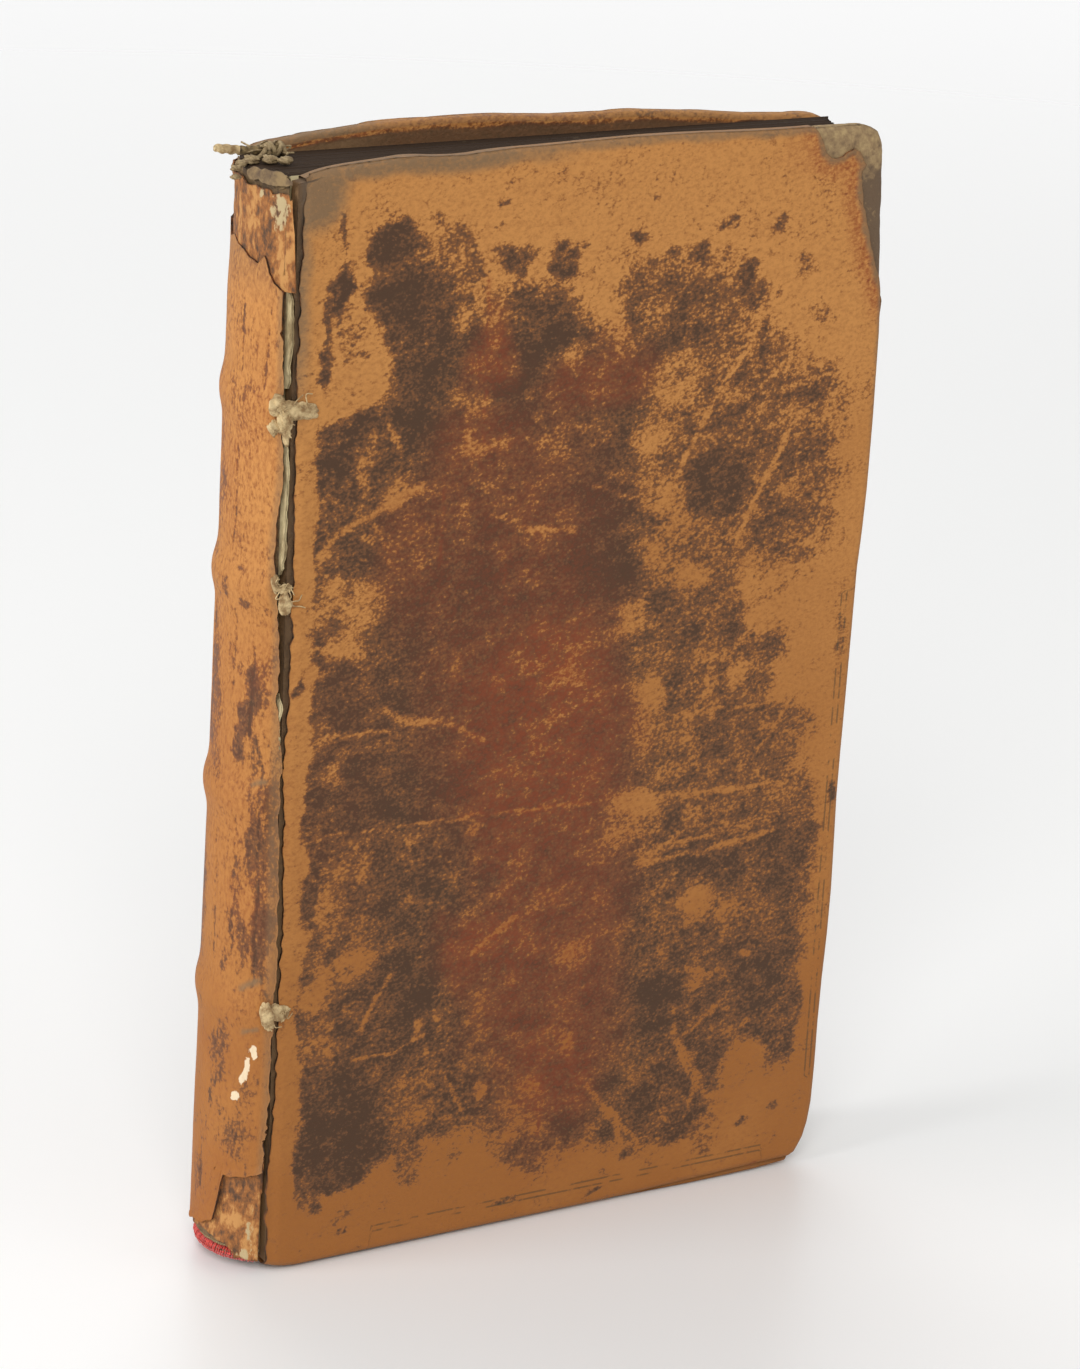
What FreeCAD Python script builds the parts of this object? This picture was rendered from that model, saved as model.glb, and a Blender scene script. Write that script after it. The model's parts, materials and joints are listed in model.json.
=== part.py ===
"""A small antique book in full leather over pasteboard, standing closed on its tail.

Millimetres. +X runs from the spine to the fore edge, +Y from the front cover to the back cover,
+Z up from tail to head. The origin is the middle of the whole book's box, at its lowest height.
Each cover is modelled in its own frame first: x from the hinge line to the fore edge,
y inward from the outer face, z up. It is then turned in by its toe and set at its joint.
"""

import FreeCAD
import Part
import math
import os

# Covers
cover_height = 170.0
cover_width = 98.0
back_joint_rise = 1.6
back_fore_drop = 1.0
joint_thickness = 20.5
fore_thickness = 17.0
board_thickness = 2.2
cover_leather = 0.6
turn_in_leather = 0.35
turn_in_width = 13.0
turn_in_gap = 0.15
pastedown_thickness = 0.25
joint_gap = 0.4
crack_retreat = 0.7
tail_corner_radius = 4.6
head_corner_radius = 3.2
outer_edge_radius = 0.9
inner_edge_radius = 0.3

# Pages
fore_square = 3.0
head_square = 1.6
tail_square = 3.2
page_gap = 0.3
fore_hollow = 1.6
shoulder_step = 0.2
tail_shoulder_half = 8.8
head_shoulder_half = 8.4
tail_round = 5.8
head_round = 2.4

# Spine, from the pages outward
lining_thickness = 0.3
lining_inset = 0.6
lining_to_cord = 1.4
spine_leather = 0.8
skived_leather = 0.35
band_leather = 0.5
band_radius = 3.0
band_levels = (43.4, 75.8, 108.6, 135.2)
levels_drawn_for = 170.0
cord_radius = 0.55
thread_thickness = 0.2
thread_width = 0.5
thread_turns = 12
running_gap = 0.03
opening_gap = 0.3

# Cord ends laced into the boards
slip_length = 8.0
slip_width = 2.4
slip_depth = 0.85
slip_peg_radius = 1.0
slip_clearance = 0.06

# Endbands
endband_radius = 0.9
endband_core_radius = 0.5
endband_clearance = 0.05
endband_shortfall = 1.2
loose_core_radius = 0.65
loose_thread_radius = 0.2
loose_thread_turns = 5
loose_core_reach = 6.6
loose_core_rise = 0.8
loose_core_tuck = 4.2
loose_core_off_centre = 4.4
loose_core_tip_off_centre = 3.2

# Folded leather left at the head of the spine, and torn paper standing in the cracked joint
cap_thickness = 0.35
cap_height = 2.3
cap_stand = 0.6
cap_span = (-10.3, -1.6)
strip_thickness = 0.3
strip_depth = 0.95
strip_clearance = 0.06
strip_levels = ((83.5, 93.0), (111.0, 132.0), (138.5, 152.5))

# Torn lines on the spine, as (along Y, up from the tail or down from the head)
head_tear = ((12.0, -10.8), (8.0, -11.4), (5.5, -12.6), (3.0, -12.2), (1.0, -13.0), (-2.2, -13.9),
             (-4.4, -14.3), (-5.7, -13.0), (-6.7, -15.3), (-7.6, -16.4), (-12.0, -18.5))
head_edge = ((12.0, -3.4), (-12.0, -4.1))
bare_patch = ((-4.7, 1.0), (-5.0, -4.5), (-5.6, -10.0), (-7.4, -15.0), (-12.0, -18.5), (-12.0, 1.0))
tail_tear = ((12.0, 4.8), (5.0, 5.2), (-1.7, 6.3), (-4.3, 7.9), (-5.1, 12.1), (-5.5, 15.7), (-9.3, 16.6),
             (-12.0, 17.1))
tail_edge = ((12.0, 2.4), (5.0, 4.2), (-1.1, 5.1), (-4.8, 4.7), (-7.0, 3.6), (-7.4, 2.0), (-12.0, 2.1))

# Where the front leather is gone: at the head corner, as (from the fore edge, down from the head)
corner_loss = ((-12.6, 1.0), (-12.3, -1.6), (-11.7, -3.2), (-9.6, -4.6), (-6.6, -3.3), (-4.6, -5.9),
               (-5.0, -9.1), (-3.2, -15.6), (-0.9, -22.2), (1.0, -27.0))
corner_fluff_shy = 0.15
# and over the broken cords, as (reach onto the cover, half height) for each band in turn
cord_losses = ((3.2, 1.8), (0.0, 0.0), (0.0, 0.0), (4.4, 2.4))

# How closely two heights must agree to be the same face
match_tolerance = 0.001

# Sizes worked out from those above
cover_thickness = cover_leather + board_thickness + turn_in_leather
toe = math.atan((joint_thickness - fore_thickness) / 2 / cover_width)
pages_tail = tail_square
pages_head = cover_height - head_square
pages_fore = cover_width - fore_square
cord_offset = cord_radius + thread_thickness + running_gap
band_crest = 2 * cord_offset + band_leather
loose_turn_radius = loose_core_radius + running_gap + loose_thread_radius
past_everything = 2 * cover_width
level_scale = cover_height / levels_drawn_for
band_heights = [level * level_scale for level in band_levels]
strip_heights = [(low * level_scale, high * level_scale) for low, high in strip_levels]


def vec(x, y, z):
    return FreeCAD.Vector(x, y, z)


def page_half_thickness(x):
    """Half the pages' thickness at x, a page gap clear of the turned-in covers."""
    half_outside = joint_thickness / 2 - x * math.tan(toe)
    return half_outside - cover_thickness / math.cos(toe) - page_gap


def spine_arc(shoulder_half, round_depth):
    """Centre x, radius and half angle of the arc of the pages' rounded back."""
    depth = round_depth - shoulder_step
    radius = (shoulder_half ** 2 + depth ** 2) / (2 * depth)
    centre = radius - round_depth
    return centre, radius, math.acos((centre + shoulder_step) / radius)


tail_arc = spine_arc(tail_shoulder_half, tail_round)
head_arc = spine_arc(head_shoulder_half, head_round)


def shoulder_at(z):
    """Half the width of the rounded back at a height."""
    return tail_shoulder_half + (head_shoulder_half - tail_shoulder_half) * z / cover_height


def arc_at(z):
    """The back's arc at a height, between those at tail and head."""
    return spine_arc(shoulder_at(z), tail_round + (head_round - tail_round) * z / cover_height)


def arc_point(arc, offset, angle, z):
    """A point a set distance outside the arc; angle 0 is the middle of the spine, + towards the back."""
    centre, radius, _ = arc
    reach = radius + offset
    return vec(centre - reach * math.cos(angle), reach * math.sin(angle), z)


def back_arc_edge(arc, offset, z):
    ends = [arc_point(arc, offset, share * arc[2], z) for share in (-1, 0, 1)]
    return Part.Arc(*ends).toShape()


def rounded_outline(corners, y):
    """A closed wire through (x, z, radius) corners, each rounded by its own radius."""
    edges, first_start, last_end = [], None, None
    for before, here, after in zip(corners[-1:] + corners, corners, corners[1:] + corners[:1]):
        corner = vec(here[0], y, here[1])
        to_before = (vec(before[0], y, before[1]) - corner).normalize()
        to_after = (vec(after[0], y, after[1]) - corner).normalize()
        half_angle = to_before.getAngle(to_after) / 2
        start = corner + to_before * (here[2] / math.tan(half_angle))
        end = corner + to_after * (here[2] / math.tan(half_angle))
        if last_end:
            edges.append(Part.makeLine(last_end, start))
        if here[2]:
            inward = (to_before + to_after).normalize() * (here[2] / math.sin(half_angle) - here[2])
            edges.append(Part.Arc(start, corner + inward, end).toShape())
        first_start, last_end = first_start or start, end
    edges.append(Part.makeLine(last_end, first_start))
    return Part.Wire(edges)


def prism(points, direction):
    """A solid swept straight from a closed outline of 3-D points."""
    return Part.Face(Part.makePolygon(points + points[:1])).extrude(direction)


def cover_outline(rises, inset, y0, thickness):
    """The cover's outline drawn in by inset along its three free edges.

    rises is how far the head edge stands above the cover's height at the joint and at the fore edge.
    """
    tail, fore = inset, cover_width - inset
    head_joint, head_fore = (cover_height + rise - inset for rise in rises)
    corners = [(joint_gap, tail, 0), (fore, tail, tail_corner_radius - inset),
               (fore, head_fore, head_corner_radius - inset), (joint_gap, head_joint, 0)]
    return Part.Face(rounded_outline(corners, y0)).extrude(vec(0, thickness, 0))


def outer_cover(rises):
    """The whole cover as one block, with its outer and inner edges eased."""
    block = cover_outline(rises, 0, 0, cover_thickness)
    for face_y, radius in ((0, outer_edge_radius), (cover_thickness, inner_edge_radius)):
        rim = [
            e for e in block.Edges
            if all(abs(v.Point.y - face_y) < match_tolerance for v in e.Vertexes)
            and e.BoundBox.XMax > joint_gap + slip_length
        ]
        block = block.makeFillet(radius, rim)
    return block


def band_boxes(x0, x1, width, y0, depth):
    """One bar along X at each band's height."""
    return [Part.makeBox(x1 - x0, depth, width, vec(x0, y0, z - width / 2)) for z in band_heights]


def pegs(radius, y0, length):
    """One round peg along Y at each band's height, at the slip's far end."""
    x = joint_gap + slip_length - slip_peg_radius
    return [Part.makeCylinder(radius, length, vec(x, y0, z), vec(0, 1, 0)) for z in band_heights]


def cover_slips():
    """The frayed-out cord ends, each let into the board's outer face and laced through it."""
    bars = band_boxes(joint_gap, joint_gap + slip_length, slip_width, cover_leather + slip_clearance,
                      slip_depth - slip_clearance)
    through = pegs(slip_peg_radius, cover_leather + slip_depth, board_thickness - slip_depth)
    return [bar.fuse(peg).removeSplitter() for bar, peg in zip(bars, through)]


def cover_board(rises):
    board = cover_outline(rises, cover_leather, cover_leather, board_thickness)
    grooves = band_boxes(joint_gap, joint_gap + slip_length + slip_clearance, slip_width + 2 * slip_clearance,
                         cover_leather, slip_depth)
    holes = pegs(slip_peg_radius + slip_clearance, cover_leather, board_thickness)
    return board.cut(grooves + holes)


def cover_skin(rises):
    """The leather: one sheet over the outer face, wrapped round three edges and turned in."""
    board = cover_outline(rises, cover_leather, cover_leather, board_thickness)
    inner = cover_leather + board_thickness
    window = cover_window(rises, turn_in_width, joint_gap, inner, turn_in_leather)
    return outer_cover(rises).cut([board, window])


def cover_window(rises, inset, x0, y0, thickness):
    """The plain field inside the turn-ins, running out at the joint."""
    fore = cover_width - inset
    head_joint, head_fore = (cover_height + rise - inset for rise in rises)
    outline = [vec(x0, y0, inset), vec(fore, y0, inset), vec(fore, y0, head_fore), vec(x0, y0, head_joint)]
    return prism(outline, vec(0, thickness, 0))


def cover_pastedown(rises):
    return cover_window(rises, turn_in_width + turn_in_gap, joint_gap + turn_in_gap,
                        cover_leather + board_thickness, pastedown_thickness)


def worn_corner():
    """Everything past the torn line at the front cover's head corner, through the leather and the board."""
    depth = cover_leather + board_thickness
    line = [vec(cover_width + x, -depth, cover_height + z) for x, z in corner_loss]
    far = [vec(past_everything, -depth, line[-1].z), vec(past_everything, -depth, past_everything),
           vec(line[0].x, -depth, past_everything)]
    return prism(line + far, vec(0, 2 * depth, 0))


def crack_losses():
    """Leather gone along the cracked front joint, and over the broken cords."""
    depth = cover_leather + match_tolerance
    joint = Part.makeBox(joint_gap + crack_retreat, depth, past_everything)
    cords = [Part.makeBox(reach, depth, 2 * half_height, vec(0, 0, z - half_height))
             for z, (reach, half_height) in zip(band_heights, cord_losses) if reach]
    return [joint, *cords]


def front_pieces():
    """The front cover, whose head corner has lost its leather and shows swollen board."""
    level = (0, 0)
    fluff = cover_outline(level, corner_fluff_shy, corner_fluff_shy,
                          cover_leather + board_thickness - corner_fluff_shy).common(worn_corner())
    return {
        "front_board": cover_board(level).fuse(fluff).removeSplitter(),
        "front_leather": cover_skin(level).cut([worn_corner(), *crack_losses()]),
        "front_pastedown": cover_pastedown(level),
    }


def back_pieces():
    """The back cover, cut out of square: its head falls towards the fore edge."""
    rises = (back_joint_rise, -back_fore_drop)
    return {
        "back_board": cover_board(rises),
        "back_leather": cover_skin(rises),
        "back_pastedown": cover_pastedown(rises),
    }


def set_front(shape):
    """From the cover's own frame to the joint frame."""
    placed = shape.copy()
    placed.rotate(vec(0, 0, 0), vec(0, 0, 1), math.degrees(toe))
    placed.translate(vec(0, -joint_thickness / 2, 0))
    return placed


def set_back(shape):
    """As set_front, mirrored in the book's middle plane."""
    return set_front(shape).mirror(vec(0, 0, 0), vec(0, 1, 0))


def page_section(arc, shoulder_half, z):
    joint_half = page_half_thickness(0)
    fore_half = page_half_thickness(pages_fore)
    front = [vec(pages_fore, -fore_half, z), vec(0, -joint_half, z), vec(-shoulder_step, -joint_half, z),
             vec(-shoulder_step, -shoulder_half, z)]
    back = [vec(-shoulder_step, shoulder_half, z), vec(-shoulder_step, joint_half, z), vec(0, joint_half, z),
            vec(pages_fore, fore_half, z)]
    edges = [Part.makeLine(a, b) for a, b in zip(front, front[1:])]
    edges.append(back_arc_edge(arc, 0, z))
    edges += [Part.makeLine(a, b) for a, b in zip(back, back[1:])]
    edges.append(Part.Arc(back[-1], vec(pages_fore - fore_hollow, 0, z), front[0]).toShape())
    return Part.Wire(edges)


def height_slice(z0, z1):
    """A slab of space between two heights, wider than the book."""
    side = 2 * past_everything
    return Part.makeBox(side, side, z1 - z0, vec(-side / 2, -side / 2, z0))


def text_block():
    """All the pages as one block, rounded and backed at the spine, hollow at the fore edge."""
    tail = page_section(tail_arc, tail_shoulder_half, 0)
    head = page_section(head_arc, head_shoulder_half, cover_height)
    return Part.makeLoft([tail, head], True, True).common(height_slice(pages_tail, pages_head))


def round_back(offset):
    """The rounded back grown outward by offset, closed by a flat across its ends."""
    sections = []
    for arc, z in ((tail_arc, 0), (head_arc, cover_height)):
        edge = back_arc_edge(arc, offset, z)
        ends = [v.Point for v in edge.Vertexes]
        sections.append(Part.Wire([edge, Part.makeLine(ends[1], ends[0])]))
    return Part.makeLoft(sections, True, True)


def arc_tube(z, offset, radius, shortfall=0.0):
    """A round bar bent along the spine's arc at height z, its middle offset outside the pages."""
    arc = arc_at(z)
    half_turn = arc[2] - shortfall / (arc[1] + offset)
    start = arc_point(arc, offset, -half_turn, z)
    radial = start - vec(arc[0], 0, z)
    disc = Part.Face(Part.Wire(Part.makeCircle(radius, start, vec(-radial.y, radial.x, 0))))
    return disc.revolve(vec(arc[0], 0, z), vec(0, 0, -1), math.degrees(2 * half_turn))


def past_line(line, height, far_z):
    """Everything past a torn line drawn on the spine, measured from a height."""
    points = [vec(-past_everything, y, height + z) for y, z in line]
    points += [vec(-past_everything, y, far_z) for y in (line[-1][0], line[0][0])]
    return prism(points, vec(2 * past_everything, 0, 0))


def spine_bands():
    """The ridges over the cords, kept between the covers so that both can swing back."""
    tubes = Part.makeCompound([arc_tube(z, band_crest - band_radius, band_radius) for z in band_heights])
    room = joint_thickness - 2 * opening_gap
    between_covers = Part.makeBox(past_everything, room, past_everything, vec(-past_everything, -room / 2, 0))
    return tubes.common(round_back(band_crest)).common(between_covers)


def spine_skin():
    """The spine's leather: whole between its torn lines, and past them skived thin or gone."""
    whole = round_back(lining_thickness + spine_leather).fuse(spine_bands())
    whole = whole.cut([past_line(head_tear, cover_height, past_everything),
                       past_line(tail_tear, 0, -past_everything)])
    thin = round_back(lining_thickness + skived_leather)
    thin = thin.cut([past_line(head_edge, cover_height, past_everything),
                     past_line(tail_edge, 0, -past_everything)])
    patch = [vec(-past_everything, y, cover_height + z) for y, z in bare_patch]
    channels = [arc_tube(z, cord_offset, cord_offset) for z in band_heights]
    gone = [round_back(lining_thickness), prism(patch, vec(2 * past_everything, 0, 0)), *channels]
    return max(whole.fuse(thin).cut(gone).Solids, key=lambda solid: solid.Volume)


def spine_linings():
    """Paper glued to the back between the bands, one strip to a panel."""
    sleeve = round_back(lining_thickness).cut(round_back(0))
    ends = pages_tail + lining_inset - lining_to_cord, pages_head - lining_inset + lining_to_cord
    stops = [ends[0], *band_heights, ends[1]]
    return [sleeve.common(height_slice(low + lining_to_cord, high - lining_to_cord))
            for low, high in zip(stops, stops[1:])]


def head_cap():
    """What is left of the leather folded over the head of the spine."""
    inner = lining_thickness + endband_clearance
    sleeve = round_back(inner + cap_thickness).cut(round_back(inner))
    top = pages_head + cap_stand
    span = Part.makeBox(past_everything, cap_span[1] - cap_span[0], cap_height,
                        vec(-past_everything, cap_span[0], top - cap_height))
    return sleeve.common(span)


def joint_strips():
    """Torn edges of paper that stand in the cracked front joint, along the pages' shoulder."""
    strips = []
    for low, high in strip_heights:
        seat = -shoulder_at(low) - strip_clearance
        strips.append(Part.makeBox(strip_thickness, strip_depth, high - low,
                                   vec(-shoulder_step, seat - strip_depth, low)))
    return strips


def thread_wraps(z):
    """Turns of sewing thread round one cord, a turn for each gathering of pages."""
    arc = arc_at(z)
    bore = arc_tube(z, cord_offset, cord_radius + running_gap)
    rings = []
    for turn in range(thread_turns):
        angle = arc[2] * ((2 * turn + 1) / thread_turns - 1)
        along = vec(math.sin(angle), math.cos(angle), 0)
        base = arc_point(arc, cord_offset, angle, z) - along * (thread_width / 2)
        rings.append(Part.makeCylinder(cord_radius + thread_thickness, thread_width, base, along).cut(bore))
    return Part.makeCompound(rings)


def tail_endband():
    """Red silk worked over a core along the tail of the spine, flush with the linings."""
    z = pages_tail - endband_radius - endband_clearance
    offset = lining_thickness - endband_radius
    core = arc_tube(z, offset, endband_core_radius, endband_shortfall)
    return core, arc_tube(z, offset, endband_radius, endband_shortfall).cut(core)


def head_endband():
    """The head endband's core, sprung loose and poking out past the spine, and the thread still on it."""
    rest = pages_head + loose_turn_radius + loose_thread_radius + endband_clearance
    tucked = vec(loose_core_tuck, loose_core_off_centre, rest)
    tip = vec(-loose_core_reach, loose_core_tip_off_centre, rest + loose_core_rise)
    middle = (tucked + tip) * 0.5 - vec(0, 0, loose_core_rise / 4)
    edge = Part.Arc(tucked, middle, tip).toShape()
    first, last = edge.ParameterRange
    section = Part.Wire(Part.makeCircle(loose_core_radius, tucked, edge.tangentAt(first)))
    core = Part.Wire(edge).makePipeShell([section], True, False)
    turns = []
    for turn in range(loose_thread_turns):
        at = first + (last - first) * (turn + 1) / (2 * loose_thread_turns)
        turns.append(Part.makeTorus(loose_turn_radius, loose_thread_radius, edge.valueAt(at),
                                    edge.tangentAt(at)))
    return Part.Solid(core.Shells[0]), Part.makeCompound(turns)


def all_pieces():
    pieces = {"text_block": text_block(), "spine_leather": spine_skin(), "head_cap_leather": head_cap()}
    for name, panel in zip(("tail", "lower", "middle", "upper", "head"), spine_linings()):
        pieces[f"spine_lining_{name}"] = panel
    for name, strip in zip(("lower", "upper", "head"), joint_strips()):
        pieces[f"joint_paper_{name}"] = strip
    for number, z in enumerate(band_heights, 1):
        pieces[f"sewing_cord_{number}"] = arc_tube(z, cord_offset, cord_radius)
        pieces[f"sewing_thread_{number}"] = thread_wraps(z)
    pieces["tail_endband_core"], pieces["tail_endband_silk"] = tail_endband()
    pieces["head_endband_core"], pieces["head_endband_thread"] = head_endband()
    for name, shape in front_pieces().items():
        pieces[name] = set_front(shape)
    for name, shape in back_pieces().items():
        pieces[name] = set_back(shape)
    for number, slip in enumerate(cover_slips(), 1):
        pieces[f"front_cord_slip_{number}"] = set_front(slip)
        pieces[f"back_cord_slip_{number}"] = set_back(slip)
    return pieces


def main():
    pieces = all_pieces()
    box = FreeCAD.BoundBox()
    for shape in pieces.values():
        box.add(shape.optimalBoundingBox(False, False))
    origin = vec((box.XMin + box.XMax) / 2, 0, 0)
    os.makedirs("parts", exist_ok=True)
    for name, shape in pieces.items():
        shape.translate(origin * -1)
        shape.exportStep(f"parts/{name}.step")
    print("hinge lines at x", round(-origin.x, 4), "and y", joint_thickness / 2, "either side")


if __name__ == "__main__":
    main()
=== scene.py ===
"""The looks of a small antique book in full calf, standing closed on its tail.

Shapes are worked out in millimetres and built in metres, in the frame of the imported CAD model:
+X from the spine to the fore edge, +Y from the front cover to the back cover, +Z up to the head.
On a cover, x runs from its hinge line to the fore edge, y inward from the outer face and z up.
On the spine, s runs round the back from its middle, + towards the back cover.
"""

import json
import math

import bmesh
import bpy
import numpy as np
from bpy.props import FloatProperty, FloatVectorProperty, PointerProperty
from mathutils import Matrix, Vector


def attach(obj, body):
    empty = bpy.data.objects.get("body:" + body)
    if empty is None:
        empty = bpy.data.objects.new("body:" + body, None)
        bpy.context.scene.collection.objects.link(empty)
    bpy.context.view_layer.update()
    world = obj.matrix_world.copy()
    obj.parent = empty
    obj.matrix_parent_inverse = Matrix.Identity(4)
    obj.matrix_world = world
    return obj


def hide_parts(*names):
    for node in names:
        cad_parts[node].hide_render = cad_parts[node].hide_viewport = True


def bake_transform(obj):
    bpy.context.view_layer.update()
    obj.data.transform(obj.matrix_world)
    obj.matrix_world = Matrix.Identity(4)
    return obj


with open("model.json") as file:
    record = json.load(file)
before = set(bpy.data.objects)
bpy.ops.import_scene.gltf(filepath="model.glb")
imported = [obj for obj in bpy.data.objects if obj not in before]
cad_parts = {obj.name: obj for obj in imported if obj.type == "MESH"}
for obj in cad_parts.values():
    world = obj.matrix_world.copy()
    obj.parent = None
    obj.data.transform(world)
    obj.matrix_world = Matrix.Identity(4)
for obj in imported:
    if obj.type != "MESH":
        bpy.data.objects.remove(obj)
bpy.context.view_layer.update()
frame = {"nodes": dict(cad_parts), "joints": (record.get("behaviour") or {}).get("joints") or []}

bl_info = {
    "name": "Antique calf book",
    "version": (1, 0, 0),
    "blender": (4, 5, 0),
    "location": "3D View > Sidebar > Book",
    "description": "Dresses the CAD frame of a small antique book in worn calf, pasteboard, paper and cord",
    "category": "Object",
}

MM = 0.001

# Hinge lines and covers, as in the CAD frame
HINGES = {joint["name"]: joint["pos_m"] for joint in frame["joints"]}
HINGE_X = HINGES["front_joint"][0] / MM
HINGE_HALF = HINGES["back_joint"][1] / MM
COVER_WIDTH, COVER_HEIGHT, COVER_THICKNESS = 98.0, 170.0, 3.15
TOE = math.atan(1.75 / COVER_WIDTH)
# How far in the board lies under the leather, where its inner face and its joint edge are
UNDER_LEATHER, BOARD_INNER, BOARD_JOINT = 0.62, 2.76, 0.45
# What the turned-in leather leaves open inside a cover, and where its rings lie, as shares of its width
WINDOW_JOINT, WINDOW_FORE, WINDOW_TAIL, WINDOW_HEAD = 0.4, 85.0, 13.0, 157.0
TURN_IN_SHARES = (0.02, 0.05, 0.08, 0.11, 0.15, 0.2, 0.3, 0.45, 0.6, 0.8, 1.0)
# The raised bands' levels and how high each stands, as a share of the band height
BANDS = (43.4, 75.8, 108.6, 135.2)
BAND_SHARES = (0.75, 0.9, 0.95, 0.74)

# Pages
PAGES_TAIL, PAGES_HEAD, PAGES_FORE = 3.2, 168.4, 95.0
PAGE_JOINT_HALF, SHOULDER_STEP = 6.8, 0.2
# How far the leather's face lies out from the leaves, and that of the layer torn thin
SPINE_OFFSET, SKIVED_OFFSET = 1.1, 0.65
# Half width and depth of the rounded back at the tail and at the head
BACK_HALF, BACK_DEPTH = (8.8, 8.4), (5.6, 2.2)
# How far onto a cover the leather that bridges the joint has come when it lies flat
BRIDGE_END = 0.9
# Where the spine's leather is whole all the way round, from the tail tear to the head tear
SPINE_TAIL, SPINE_HEAD = 4.0, 158.0
# The cap folded over the head: where it starts and ends round the spine, and its middle level
CAP_START, CAP_END, CAP_LEVEL = -10.3, -1.2, 168.0
# Where the torn papers and the knotted cords stand in the cracked joint, in y from the book's middle
STRIP_Y, COVER_KNOT_Y, SPINE_KNOT_Y, FIBRE_Y = -8.6, -10.2, -9.7, -10.6
# The silk's turns over the tail endband, and how far under the pages and in from the back they lie
SILK_TURNS, SILK_DROP, SILK_INSET = 52, 0.95, 0.55

# The front cover's worn outline: its free edges and its torn joint edge
FRONT_FORE = (
    (7, 97.3), (12, 97.8), (23, 97.7), (33, 97.9), (43, 98.4), (54, 98.2), (64, 97.9), (74, 98.1),
    (88, 98.3), (103, 98.4), (108, 99.0), (122, 99.2), (141, 99.0), (146, 98.5), (155, 97.9), (164, 97.5),
)
FRONT_HEAD = (
    (1.5, 168.6), (4.2, 169.4), (7, 169.8), (9.8, 170.0), (14.5, 170.3), (17.4, 170.6), (22.6, 170.1),
    (27, 170.0), (30.8, 170.4), (41, 170.5), (50, 170.7), (59, 170.8), (76.5, 170.2), (92, 170.1),
)
FRONT_TAIL = ((0.3, 1.1), (1.2, 0.8), (2.6, 0.5), (3.9, 0.2), (6.3, 0), (92, 0))
FRONT_TAIL_CORNER = ((94.9, 1.4), (96.4, 3.6))
FRONT_HEAD_CORNER = ((97.3, 166.9), (96.3, 168.9), (94.6, 169.8))
FRONT_CRACK = (
    (1.1, 0.3), (2.3, 0.4), (12.4, 0.2), (20.7, 0.5), (32.1, 1.2), (53.1, 1.3), (68.9, 1.3), (83, 0.8),
    (92.2, 1.3), (104.4, 1.5), (114.9, 1.3), (127.4, 1.1), (151.5, 1.0), (168.6, 1.5),
)
# Where the leather ends round the bare corner, from the fore edge to the head edge
CORNER_TEAR = (
    (98.9, 143), (97.1, 147.8), (95.8, 151), (94.8, 154.4), (93.8, 157.9), (93.0, 160.9), (93.0, 162.5),
    (93.6, 164.1), (92.8, 165.6), (91.4, 166.8), (89.4, 165.4), (87.7, 165.5), (86.3, 166.8), (85.7, 168.4),
    (84.8, 170.2),
)
CORNER_TEAR_TURN = 7

# The back cover's outline, its head lifted towards the joint
BACK_FORE = ((7, 97.6), (30, 98.0), (60, 97.8), (90, 98.1), (120, 97.9), (150, 98.0), (160, 97.9))
BACK_HEAD = (
    (0.5, 168.6), (2.2, 169.4), (4.2, 169.8), (7.1, 170.1), (9.5, 170.5), (12.6, 170.7), (15.7, 171.0),
    (22, 171.6), (40, 171.6), (44.8, 171.1), (55, 170.8), (61.5, 171.0), (68, 170.5), (75, 170.0),
    (78.7, 169.5), (85.7, 169.0), (92.7, 168.8),
)
BACK_TAIL = ((0.5, 0.9), (2.6, 0.3), (6.3, 0), (92, 0))
BACK_TAIL_CORNER = ((94.9, 1.4), (96.4, 3.6))
BACK_HEAD_CORNER = ((97.6, 165.7), (96.5, 166.9), (94.8, 168.0))
BACK_SEAM = 1.6

# The spine leather's torn edges: along the front joint as (z, s), at the head and tail as (s, z)
SPINE_CRACK = (
    (4.1, -12.2), (12.5, -12.1), (20.8, -12.2), (32.3, -12.6), (53.4, -12.7), (69.2, -12.3),
    (84.7, -12.0), (92.3, -11.1), (104.4, -10.9), (114.7, -9.7), (127.4, -10.6), (151.7, -9.5),
)
HEAD_TEAR = (
    (-12, 151.5), (-9.4, 152.5), (-7.9, 153.6), (-7.0, 154.7), (-5.8, 157.0), (-4.5, 155.7), (-2.2, 156.1),
    (-0.6, 156.8), (1.0, 157.0), (3.0, 157.8), (6.0, 157.3), (9.0, 158.8), (12, 159.4), (15, 161),
)
TAIL_TEAR = (
    (-13, 17.3), (-12.1, 17.1), (-11.1, 16.6), (-7.9, 15.9), (-5.8, 15.7), (-5.3, 12.1), (-4.7, 9.7),
    (-4.4, 7.9), (-1.8, 6.3), (2, 5.6), (5, 5.2), (9, 4.9), (12, 3.6), (15, 1.0),
)
HEAD_INNER_EDGE = (
    (-11.4, 152.5), (-11.0, 160.5), (-10.3, 166.0), (-8.4, 166.6), (-6.6, 165.8), (-5.0, 166.4),
    (-3.4, 166.6), (-1.0, 166.1), (2.0, 166.9), (5.0, 166.4), (9.0, 167.2), (12, 167.6),
)
TAIL_INNER_EDGE = (
    (-12, 2.1), (-11.6, 2.1), (-8.3, 2.0), (-7.7, 3.6), (-5, 4.7), (-1.1, 5.1), (3, 4.9), (6, 4.2),
    (12, 2.4),
)
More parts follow.
